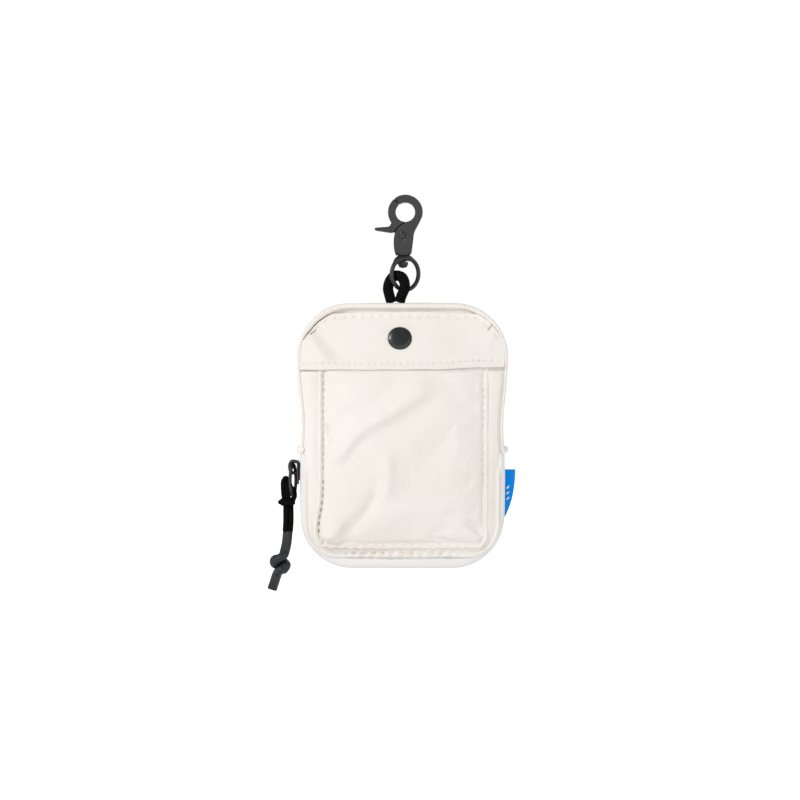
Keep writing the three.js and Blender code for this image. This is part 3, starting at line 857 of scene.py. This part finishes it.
def zip_teeth():
    """Two rows of coil that meet along the zip's slit."""
    path = POUCH.path(FOLD_Z - 0.3, False, 0.75)
    for side, body, way, first in (("front", "door", -1, 1), ("rear", "pouch", 1, 0)):
        row = []
        for x, z, nx, nz in path[first::2]:
            at = Vector((x - nx * 0.5, ZIP_Y, z - nz * 0.5))
            row.append(capsule(at + Y_AXIS * (1.9 * way), at - Y_AXIS * (0.35 * way), 0.36, 6))
        teeth = make(f"zip_coil_{side}_teeth", *join_shapes(row), PLASTIC, "zip_coil")
        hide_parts(f"zip_coil_{side}")
        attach(teeth, body)


def back_surface(x, z):
    edge = POUCH.inside(x, z)
    crown = 1.1 * smooth(edge / 24) - 0.5 * (1 - smooth(edge / 2.5)) + 1.3 * ripple(x, z, 26, 9)
    crown -= dent(edge - BACK_SEAM, x + z, BACK_STITCH, 0.7) + 0.5 * ripple(x, z, 10, 4)
    return BACK_Y + 0.2 + crown


def back_cloth():
    """The back panel with its piping and its line of stitches."""
    grid = cloth_grid(even(BOTTOM, TOP, 70, 0.8), 60, POUCH.span, back_surface)
    piece = shell("back_cloth", grid, 1.1, CANVAS, "canvas")
    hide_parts("back_panel")
    middle = (TOP + BOTTOM) / 2
    round_path = POUCH.path(middle, True)
    round_path += POUCH.path(middle, False)[-2:0:-1]
    cord = oval_profile(0.35, BACK_Y + 0.1, 0.75, 0.8)
    piping = sweep("back_piping", round_path, lambda *place: cord, CANVAS, "canvas", closed=True)
    tree = skin(piece)
    seam = [(x - nx * BACK_SEAM, z - nz * BACK_SEAM) for x, z, nx, nz in round_path]
    seam.append(seam[0])
    thread = stitches("back_stitches", tree, seam, BACK_STITCH, 1.0, 0.3, PALE_THREAD, behind=True)
    for part in (piece, piping, thread):
        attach(part, "pouch")


def facing_surface(x, z):
    lean = smooth((z - LIP_HEM - 18.4) / 10)
    return between(-5.7, -7.5, lean) + 0.25 * ripple(x, z, 14, 3)


def facing():
    inset = 1.6
    zs = even(box_mm("mouth_facing")[0].z, TOP - inset, 28, 0.6)
    grid = cloth_grid(zs, 60, lambda z: POUCH.span(z, inset), facing_surface)
    piece = shell("facing_cloth", grid, 0.7, CANVAS, "canvas")
    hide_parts("mouth_facing")
    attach(piece, "pouch")
    line = [(CENTRE + 17.5 + off, TOP - 3.4 - 0.0028 * off ** 2) for off in range(-14, 18, 2)]
    thread = stitches("facing_stitches", skin(piece), line, 2.2, 0.7, 0.18, PALE_THREAD)
    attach(thread, "pouch")


# --- lip


def ridge(x, z, a, b, width, height, sharp):
    """A fold along a line: a soft slope on one side and a steeper one on the other."""
    ax, az, bx, bz = *a, *b
    dx, dz = bx - ax, bz - az
    length = math.hypot(dx, dz)
    t = ((x - ax) * dx + (z - az) * dz) / length ** 2
    off = ((x - ax) * dz - (z - az) * dx) / length
    w = width if off > 0 else width * sharp
    ends = smooth((t + 0.25) / 0.5) * smooth((1.25 - t) / 0.5)
    return height * bell(off, w) * ends


def folded(x, z, folds, corner_x, corner_z):
    """How far a table of folds lifts the cloth at a point."""
    return sum(ridge(x - corner_x, z - corner_z, *fold) for fold in folds)


def lip_span(z):
    high = above_lip_ends(z)
    return POUCH.span(z, between(1.4, 2.9, high))[0], POUCH.span(z, between(1.4, 1.8, high))[1]


def hem_rise(x):
    """The hem climbs a little towards the right."""
    return 1.3 * smooth((x - CENTRE - 9.5) / 36) + 0.3 * ripple(x, 0, 13, 1)


def arch(x):
    """How far the top edge falls away from its middle."""
    return 1.2 * ((x - CENTRE) / 40) ** 2


def lip_front(x, z):
    drop = (LIP_TOP - z) / (LIP_TOP - LIP_HEM)
    across = (x - CENTRE) / LIP_HALF
    y = LIP_Y - drop * (LIP_SWELL[0] + LIP_SWELL[1] * max(0.0, 1 - across * across))
    y -= folded(x, z, LIP_FOLDS, CENTRE, LIP_HEM)
    calm = smooth((abs(x - CENTRE) - 1.5) / 7)
    y -= calm * (0.45 * ripple(x, z, 19, 2) + 0.22 * ripple(x, z, 7, 6))
    y += dent(z - LIP_HEM - hem_rise(x) - LIP_HEM_SEAM, x - CENTRE, LIP_HEM_STITCH, 0.6)
    y += dent(z - top_edge(x) + LIP_EDGE_SEAM, x - CENTRE, LIP_EDGE_STITCH, 0.7)
    return y


def top_edge(x):
    """The height of the lip's top edge before it is arched: level, and lower round its corners."""
    z = LIP_TOP
    for _ in range(60):
        left, right = lip_span(z)
        if left <= x <= right:
            break
        z -= 0.35
    return z


def lip_grid(side, front, hem_z, columns=80, rows=60):
    """Half a lip, from its middle out to one side."""
    zs = even(hem_z, LIP_TOP, rows, 0.8)
    grid = np.zeros((rows, columns, 3))
    for r, z in enumerate(zs):
        left, right = lip_span(z)
        end = left if side < 0 else right
        for c in range(columns):
            x = between(CENTRE, end, c / (columns - 1))
            low_shift = hem_rise(x) * (1 - r / rows) ** 2
            grid[r, c] = (x, front(x, z), z + low_shift - arch(x) * (r / rows) ** 2)
    return grid


def backing_front(x, z):
    drop = min(1, (LIP_TOP - z) / (LIP_TOP - LIP_HEM))
    return between(LIP_Y + 1.2, PANEL_Y + 0.9, drop)


def lip():
    """The lip, as two halves that meet in the middle."""
    halves = {}
    for side, word in ((-1, "left"), (1, "right")):
        outer_grid = lip_grid(side, lip_front, LIP_HEM)
        inner_grid = lip_grid(side, backing_front, LIP_HEM + 0.6, 30, 24)
        outer = shell(f"lip_cloth_{word}", outer_grid, LIP_THICK, CANVAS, "canvas")
        inner = shell(f"lip_lining_{word}", inner_grid, 0.6, CANVAS, "canvas")
        crease_middle(outer)
        halves[side] = (word, outer, inner)
    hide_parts("mouth_lip")
    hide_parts("lip_backing")
    for side, (word, outer, inner) in halves.items():
        tree = skin(outer)
        near = CENTRE + side * 0.6
        top_xs = np.linspace(near, CENTRE + side * 40, 30)
        hem_xs = np.linspace(near, CENTRE + side * 49, 30)
        top_line = [(x, top_edge(x) - arch(x) - LIP_EDGE_SEAM) for x in top_xs]
        hem_line = [(x, LIP_HEM + LIP_HEM_SEAM + hem_rise(x)) for x in hem_xs]
        top_name, hem_name = f"lip_top_stitches_{word}", f"lip_hem_stitches_{word}"
        top = stitches(top_name, tree, top_line, LIP_EDGE_STITCH, 1.8, 0.26, PALE_THREAD)
        hem = stitches(hem_name, tree, hem_line, LIP_HEM_STITCH, 1.1, 0.28, PALE_THREAD)
        tack = bartack(f"lip_bartack_{word}", tree, side)
        for piece in (outer, inner, top, hem, tack):
            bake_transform(piece)


def bartack(name, tree, side):
    """A short bar of close stitches that holds the lip's corner."""
    middle = (CENTRE - 44.4, LIP_HEM + 18.8) if side < 0 else (CENTRE + 43.6, LIP_HEM + 21.0)
    lean = (1.0, 0.75) if side < 0 else (1.0, 1.2)
    size = math.hypot(*lean)
    along = (lean[0] / size, lean[1] / size)
    shapes = []
    for i in range(7):
        t = (i - 3) * 0.55
        x, z = middle[0] + along[0] * t, middle[1] + along[1] * t
        centre = on_skin(tree, x, z)
        if centre is not None:
            across = Vector((-along[1], 0, along[0])) * 0.45
            shapes.append(capsule(centre - across, centre + across, 0.28))
    return make(name, *join_shapes(shapes), THREAD, "canvas")


# --- front panel, pocket


def settle(grid, pinned, grow, pressure, cap):
    """Lets a sheet of cloth, held at its pinned points, swell and crease by cloth simulation."""
    rows, columns = grid.shape[:2]
    points = [tuple(p * MM) for p in grid.reshape(-1, 3)]
    faces = [
        (r * columns + c, r * columns + c + 1, (r + 1) * columns + c + 1, (r + 1) * columns + c)
        for r in range(rows - 1) for c in range(columns - 1)
    ]
    mesh = bpy.data.meshes.new("settling")
    mesh.from_pydata(points, [], faces)
    sheet = bpy.data.objects.new("settling", mesh)
    link(sheet)
    held = sheet.vertex_groups.new(name="held")
    held.add([int(i) for i in np.flatnonzero(pinned.reshape(-1))], 1.0, "REPLACE")
    cloth = sheet.modifiers.new("cloth", "CLOTH")
    cloth.collision_settings.use_collision = False
    settings = cloth.settings
    settings.quality = 8
    settings.mass = 0.1
    settings.tension_stiffness = 25
    settings.compression_stiffness = 25
    settings.bending_stiffness = 3
    settings.shrink_min = -grow
    settings.vertex_group_mass = "held"
    settings.use_pressure = True
    settings.uniform_pressure_force = pressure
    settings.effector_weights.gravity = 0
    scene = bpy.context.scene
    for number in range(1, SETTLING_FRAMES + 1):
        scene.frame_set(number)
    ready = sheet.evaluated_get(bpy.context.evaluated_depsgraph_get()).to_mesh()
    moved = np.array([v.co for v in ready.vertices]).reshape(grid.shape) / MM
    scene.frame_set(1)
    bpy.data.objects.remove(sheet)
    shift = moved - grid
    size = np.linalg.norm(shift, axis=2, keepdims=True)
    return grid + shift * np.minimum(1, cap / np.maximum(size, 1e-6))


def fold_across(*pieces):
    """Bakes each piece's transform into its mesh."""
    for piece in pieces:
        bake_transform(piece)


def zipped(z):
    """0 above the zip's ends, 1 where the front panel is sewn to its tape."""
    return smooth((FOLD_Z + 1 - z) / 13)


def panel_edges(z):
    """The front panel's left, right and bottom edges and its corner radius."""
    low = zipped(z)
    left = CENTRE - POUCH.half(z) + between(0.4, TAPE_LEFT, low)
    right = CENTRE + POUCH.half(z) - between(0.4, TAPE_RIGHT, low)
    return left, right, BOTTOM + TAPE_BOTTOM, PANEL_RADIUS


def tuck(y, x, z, clearance):
    """Cloth that goes up behind the lip's hem."""
    share = smooth((z - LIP_HEM + 2) / 2.5)
    return between(y, max(y, lip_front(x, z) + LIP_THICK + clearance), share)


def panel_front(x, z):
    edge = bag_inside(x, z, *panel_edges(z))
    low = zipped(z)
    y = PANEL_Y - 0.5 - 1.2 * smooth(edge / 7)
    y += 2.0 * (1 - smooth(edge / 3.0)) * (1 - low)
    y -= 0.8 * low * bell(edge - 0.7, 0.8)
    y += low * dent(edge - PANEL_SEAM, x + z, PANEL_STITCH, 0.22)
    ruffle = smooth((POCKET_BOTTOM + 0.5 - z) / 1.5)
    ruffle *= smooth((x - POCKET_LEFT - 12.1) / 10) * smooth((POCKET_RIGHT - 11.4 - x) / 10)
    y -= 0.4 * ruffle * math.sin(x * 2 * math.pi / RUFFLE + 1.5 * ripple(x, 0, 12, 7))
    y -= 0.5 * ripple(x, z, 15, 5) + 0.2 * ripple(x, z, 6, 2)
    return tuck(y, x, z, 0.8)


def panel():
    zs = even(BOTTOM + TAPE_BOTTOM, LIP_HEM + 3, 130, 0.6)
    grid = cloth_grid(zs, 150, lambda z: bag_span(z, *panel_edges(z)), panel_front, 0.7)
    piece = shell("front_cloth", grid, CLOTH, CANVAS, "canvas")
    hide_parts("front_panel_upper", "front_panel_lower")
    low = BOTTOM + TAPE_BOTTOM + PANEL_SEAM
    seam = [(POCKET_LEFT + 17.1, low), (POCKET_RIGHT - 15.4, low)]
    thread = stitches("front_stitches", skin(piece), seam, PANEL_STITCH, 1.2, 0.24, CANVAS)
    fold_across(piece, thread)


def pocket_edges(z):
    """The pocket's left, right and bottom edges and its corner radius."""
    bow = 0.7 - 2.3 * bell(z - POCKET_BOTTOM - 10.3, 11)
    return POCKET_LEFT + bow, POCKET_RIGHT, POCKET_BOTTOM, POCKET_RADIUS


def pocket_front(x, z):
    """The pocket's front: a rolled, stitched edge round a swell with folds."""
    edges = pocket_edges(z)
    left, right, low, _ = edges
    edge = bag_inside(x, z, *edges)
    near_low = z - low < min(x - left, right - x)
    along, pitch = (x, LOW_STITCH) if near_low else (z, SIDE_STITCH)
    roll = between(2.1, 1.0, smooth((x - POCKET_LEFT - 14.1) / 30))
    scallop = 0.8 * abs(math.cos(math.pi * along / pitch)) if near_low else 0.0
    y = PANEL_Y - 1.4 - POCKET_RISE * (1 - math.exp(-max(0, edge - 1.8) / 7))
    y -= roll * bell(edge + scallop - 1.2, 1.0)
    y += dent(edge - POCKET_SEAM, along, pitch, 1.0)
    y -= 0.15 * bell(edge - 3.4, 0.9) * math.cos(2 * math.pi * along / pitch)
    y -= folded(x, z, POCKET_FOLDS, POCKET_LOW.x, POCKET_LOW.z) * smooth((edge - 1.5) / 4)
    y -= 0.35 * ripple(x, z, 22, 8) + 0.06 * ripple(x, z, 8, 3)
    return tuck(y, x, z, 0.2)


def pocket():
    """The front pocket: shaped by its folds and seams, then settled as cloth, then stitched."""
    zs = even(POCKET_BOTTOM, POCKET_TOP + 2.4, 130, 0.7)
    grid = cloth_grid(zs, 130, lambda z: bag_span(z, *pocket_edges(z)), pocket_front, 0.7)
    pinned = np.array([
        [bag_inside(x, z, *pocket_edges(z)) < 5.0 or z > POCKET_TOP - 1.5 for x, _, z in row]
        for row in grid
    ])
    grid = settle(grid, pinned, grow=0.004, pressure=1.0, cap=1.0)
    piece = shell("pocket_cloth", grid, CLOTH, CANVAS, "canvas")
    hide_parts("pocket_upper", "pocket_lower")
    tree = skin(piece)
    side_zs = np.linspace(POCKET_TOP - 1.5, POCKET_BOTTOM + 5, 40)
    left_line = [(pocket_edges(z)[0] + POCKET_SEAM, z) for z in side_zs]
    right_line = [(POCKET_RIGHT - POCKET_SEAM, z) for z in side_zs]
    low_z = POCKET_BOTTOM + POCKET_SEAM
    low_line = [(POCKET_LEFT + 8, low_z), (POCKET_RIGHT - 7, low_z)]
    # The left stitches are in the pale thread above this height and in the darker thread below it.
    upper_left_line = [p for p in left_line if p[1] > DARK_STITCH_Z]
    lower_left_line = [p for p in left_line if p[1] <= DARK_STITCH_Z]
    threads = [
        stitches(f"pocket_stitches_{word}", tree, line, pitch, gap, radius, material)
        for word, line, pitch, gap, radius, material in (
            ("left", upper_left_line, SIDE_STITCH, 1.5, 0.28, PALE_THREAD),
            ("left_low", lower_left_line, SIDE_STITCH, 1.4, 0.34, THREAD),
            ("right", right_line, SIDE_STITCH, 1.7, 0.26, PALE_THREAD),
            ("low", low_line, LOW_STITCH, 2.0, 0.28, PALE_THREAD),
        )
    ]
    fold_across(piece, *threads)


# --- trim and cords


def tab(side, word):
    """A folded end of tape, drawn in to the pouch's waist and bent round its front edge."""
    low, high = box_mm(f"end_tab_{word}")
    middle = (low + high) / 2
    rings = []
    for t in np.linspace(0, 1, 15):
        half_z = (high.z - low.z) / 2 * (0.85 + 0.15 * math.sin(t * 9))
        ends = math.sqrt(max(0.05, 1 - (2 * t - 1) ** 8))
        x = middle.x - side * (0.7 + 3.0 * (1 - smooth(t / 0.22)))
        centre = Vector((x, between(low.y - 2.4, high.y, t), middle.z))
        rings.append(oval(centre, X_AXIS, Z_AXIS, 0.85 * ends, half_z * ends, 18))
    piece = make(f"tab_cloth_{word}", *loft(rings), CANVAS, "canvas")
    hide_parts(f"end_tab_{word}")
    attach(piece, "pouch")


def label():
    """A folded tape sewn into the side seam, narrower towards its lower end, and three stripes on it."""
    low, high = box_mm("side_label")
    tall = high.z - low.z
    grid = np.zeros((30, 12, 3))
    for r, t in enumerate(np.linspace(0, 1, 30)):
        reach = (high.x - low.x + 1.6) * (1 - (1 - t) ** 2.4) + 0.2
        for c, u in enumerate(np.linspace(0, 1, 12)):
            y = low.y - 0.8 * math.sin(u * 2) + 0.3 * math.sin(t * 4)
            grid[r, c] = (low.x - 1.2 + reach * u, y, low.z + tall * t)
    piece = shell("label_cloth", grid, 0.6, LABEL, "label")
    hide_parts("side_label")
    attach(piece, "pouch")
    tree = skin(piece)
    shapes = []
    for i in range(3):
        z = low.z + tall * (0.62 - 0.11 * i)
        start = on_skin(tree, low.x + 0.7, z)
        end = on_skin(tree, low.x + 1.9, z + 1.4)
        if start is not None and end is not None:
            shapes.append(capsule(start, end, 0.42))
    stripes = make("label_stripes", *join_shapes(shapes), STRIPE, "label")
    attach(stripes, "pouch")


def braided(thick, ridges, depth):
    """A cord's radius round its middle, for tube(), with the braid's rows as ridges along it."""
    return lambda t, a: thick / 2 * (1 - depth + depth * abs(math.cos(ridges * a / 2)))


def top_loop():
    line = catmull(LOOP_ROUTE, 8)
    piece = tube("loop_cord", line, braided(LOOP_THICK, 12, 0.1), CORD, "black_cord", 72)
    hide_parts("top_loop")
    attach(piece, "pouch")


def wrap_line():
    """A turn of cord round both strands, a little more than once about."""
    line = []
    for t in np.linspace(0, 1, 41):
        a = 2 * math.pi * 1.05 * t + 2.4
        x, y, z = WRAP_CENTRE
        line.append(Vector((x + 2.9 * math.cos(a), y + 3.1 * math.sin(a), z - 1.3 * t)))
    return line


def stub_radius(t, a):
    """A cut end of cord, rounded over its last fifth."""
    return 1.2 * math.sqrt(max(0.08, 1 - max(0, t * 5 - 4) ** 2))


def puller():
    """The zip's cord, hitched to the pull ring and doubled down into its sleeve."""
    line = catmull(PULLER_ROUTE, 8)
    braid = braided(PULLER_THICK, 10, 0.12)
    piece = tube("puller_cord_braid", line, braid, CORD, "black_cord", 60)
    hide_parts("puller_cord")
    wrap = tube("puller_wrap", wrap_line(), lambda t, a: 1.15, CORD, "black_cord", 20)
    stub = tube("puller_stub", catmull(STUB_ROUTE, 6), stub_radius, CORD, "black_cord", 20)
    turn = tube("puller_turn", catmull(TURN_ROUTE, 6), braid, CORD, "black_cord", 40)
    knot = sleeve()
    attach(knot, "puller")
    for part in (piece, wrap, turn, stub):
        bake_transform(part)


def sleeve():
    """A shrink tube over the cord, tied in one overhand knot."""
    route = [(x, PULLER_Y + 0.6, z) for x, z in SLEEVE_ROUTE]
    x, z = KNOT_CENTRE
    for t in np.linspace(0, 1, 13):
        a = 0.6 + 2 * math.pi * 1.15 * t
        route.append((x + 2.1 * math.cos(a), PULLER_Y - 2.2 * math.sin(a), z + 4.0 - 7.4 * t))
    route += [(x, PULLER_Y, z) for x, z in TAIL_ROUTE]
    line = catmull(route, 6)

    def radius(t, a):
        knotted = smooth((t - 0.28) / 0.1) * smooth((0.8 - t) / 0.1)
        pressed = 1 - 0.14 * math.cos(2 * a) - 0.05 * math.cos(3 * a + 9 * t)
        return SLEEVE_RADIUS * pressed * (0.88 + 0.3 * knotted)

    knot = tube("puller_sleeve_knot", line, radius, SLEEVE, "grey_sleeve", 28)
    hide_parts("puller_sleeve")
    return knot


# --- hardware


def coat(node):
    """Gives a carried-over CAD node the black metal."""
    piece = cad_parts[node]
    piece.data.materials.clear()
    piece.data.materials.append(METAL)
    return piece


def cast(node, voxel, passes):
    """Rounds a CAD casting's edges with modifiers; its own mesh stays as it is."""
    piece = coat(node)
    weld = piece.modifiers.new("weld", "WELD")
    weld.merge_threshold = 0.00002
    remesh = piece.modifiers.new("remesh", "REMESH")
    remesh.mode = "VOXEL"
    remesh.voxel_size = voxel * MM
    remesh.use_smooth_shade = True
    soften = piece.modifiers.new("soften", "SMOOTH")
    soften.factor = 0.5
    soften.iterations = passes


def snap():
    """The cap's dome, with a rolled edge, where the CAD cap lies, tipped to lie on the lip."""
    low, high = box_mm("snap_cap")
    place = (low + high) / 2
    place.y = lip_front(place.x, place.z) - 0.1
    tip = math.atan2(sum(LIP_SWELL), LIP_TOP - LIP_HEM)
    outward = Vector((0, math.cos(tip), -math.sin(tip)))
    up = Vector((0, math.sin(tip), math.cos(tip)))
    r = (high.x - low.x) / 2
    profile = [(r - 0.5, 0.2), (r - 0.1, 0.1), (r, -0.15), (r - 0.15, -0.45)]
    profile += [(r - 0.5, -0.62), (r - 0.8, -0.58)]
    profile += [(r * s, -0.62 - 0.75 * (1 - s * s)) for s in (0.82, 0.7, 0.55, 0.4, 0.25, 0.12, 0.04)]
    rings = [oval(place + outward * height, X_AXIS, up, size, size, 64) for size, height in profile]
    cap = make("snap_cap_dome", *loft(rings), GLOSS, "black_metal")
    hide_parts("snap_cap")
    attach(cap, "lip")
    for node in ("snap_socket", "snap_stud", "snap_post"):
        coat(node)


def post_x():
    """The middle of the swivel's post."""
    low, high = box_mm("swivel_post")
    return (low.x + high.x) / 2


def swivel_hoop():
    """The swivel's leaning ring, which thickens at its top into the eye round the post."""
    low, high = box_mm("swivel_ring")
    eye = Vector((post_x(), 0, high.z - 1.7))
    tall = (eye.z - low.z - RING_WIRE) / 2
    wide = (high.x - low.x) / 2 / math.cos(RING_TURN) - 1.3
    turn = Matrix.Rotation(RING_TURN, 3, "Z") @ Matrix.Rotation(-RING_LEAN, 3, "Y")
    rings = []
    for a in angles(96):
        out = Vector((math.cos(a), 0, math.sin(a)))
        at = Vector((wide * out.x, 0, tall * (out.z - 1)))
        top = smooth((out.z - 0.72) / 0.28)
        wire = oval(at, out, Y_AXIS, RING_WIRE + 0.75 * top, RING_WIRE + 1.3 * top, 24)
        rings.append([tuple(turn @ Vector(p) + eye) for p in wire])
    piece = make("swivel_hoop", *loft(rings, closed=True), METAL, "black_metal")
    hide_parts("swivel_ring")
    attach(piece, "swivel")


def pull_ring():
    """The zip pull, an oval of heavy wire."""
    low, high = box_mm("pull_ring")
    centre = (low + high) / 2
    across = Vector((math.cos(PULL_TURN), math.sin(PULL_TURN), 0))
    side = across.cross(Z_AXIS)
    half = ((high.y - low.y) / 2 - 0.75) / math.sin(PULL_TURN)
    tall = (high.z - low.z) / 2 - 1.0
    rings = []
    for a in angles(64):
        out = across * math.cos(a) + Z_AXIS * math.sin(a)
        at = centre + across * (half * math.cos(a)) + Z_AXIS * (tall * math.sin(a))
        rings.append(oval(at, out, side, *PULL_WIRE, 16))
    piece = make("pull_ring_wire", *loft(rings, closed=True), METAL, "black_metal")
    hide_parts("pull_ring")
    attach(piece, "pull")


def bridge():
    """The slider's arch that the pull hangs from."""
    low, high = box_mm("slider_bridge")
    y = (low.y + high.y) / 2
    route = [(high.x + 0.4, y, high.z - 0.7), (between(low.x, high.x, 0.5), y, high.z - 0.3),
             (low.x + 1.0, y, high.z - 1.6), (low.x + 0.8, y, between(low.z, high.z, 0.5)),
             (low.x + 1.2, y, low.z + 1.4), (between(low.x, high.x, 0.55), y, low.z + 0.5),
             (high.x + 0.4, y, low.z + 0.5)]
    piece = tube("slider_arch", catmull(route, 8), lambda t, a: 0.85, METAL, "black_metal", 20)
    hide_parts("slider_bridge")
    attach(piece, "slider")


def gate_tongue():
    """The tongue behind the split between the jaw and the gate."""
    low, high = box_mm("hook_gate")
    tip = Vector((between(low.x, high.x, 0.62), 0, high.z - 1.0))
    along = Vector((0.7, 0, 0.7))
    across = Vector((0.6, 0, -0.6))
    bars = [capsule(tip + at - along, tip + at + along, 1.1, 16) for at in (across * 0.2, across)]
    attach(make("gate_tongue", *join_shapes(bars), METAL, "black_metal"), "hook")


def swivel_washer():
    """The collar under the hook's body that the post turns in."""
    middle = Vector((post_x(), 0, box_mm("hook_body")[0].z - 0.3))
    rings = [
        oval(middle + Z_AXIS * z, X_AXIS, Y_AXIS, 3.8 * share, 2.2 * share, 40)
        for share, z in ((0.6, -0.7), (0.92, -0.6), (1.0, -0.2), (1.0, 0.3), (0.92, 0.6), (0.6, 0.7))
    ]
    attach(make("swivel_washer", *loft(rings), METAL, "black_metal"), "hook")


def pin_glints():
    """Two bright metal dots on the ends of the gate's pin: painted highlights."""
    low, high = box_mm("gate_pin")
    pin = (low + high) / 2
    half = Vector((0.2, 0, 0.1))
    dots = []
    for across, up in ((-0.9, 1.5), (1.3, -2.4)):
        at = Vector((pin.x + across, box_mm("hook_body")[0].y - 0.02, pin.z + up))
        dots.append(capsule(at - half, at + half, 0.3, 10))
    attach(make("pin_glints", *join_shapes(dots), GLINT, "black_metal"), "hook")


def hardware():
    for node, (voxel, passes) in CASTINGS.items():
        cast(node, voxel, passes)
    swivel_hoop()
    pull_ring()
    bridge()
    gate_tongue()
    swivel_washer()
    pin_glints()
    snap()


camera()
studio()
top_loop()
puller()
upper_walls()
lower_walls()
zip_teeth()
back_cloth()
facing()
panel()
pocket()
lip()
for tab_side, tab_word in ((-1, "left"), (1, "right")):
    tab(tab_side, tab_word)
label()
hardware()
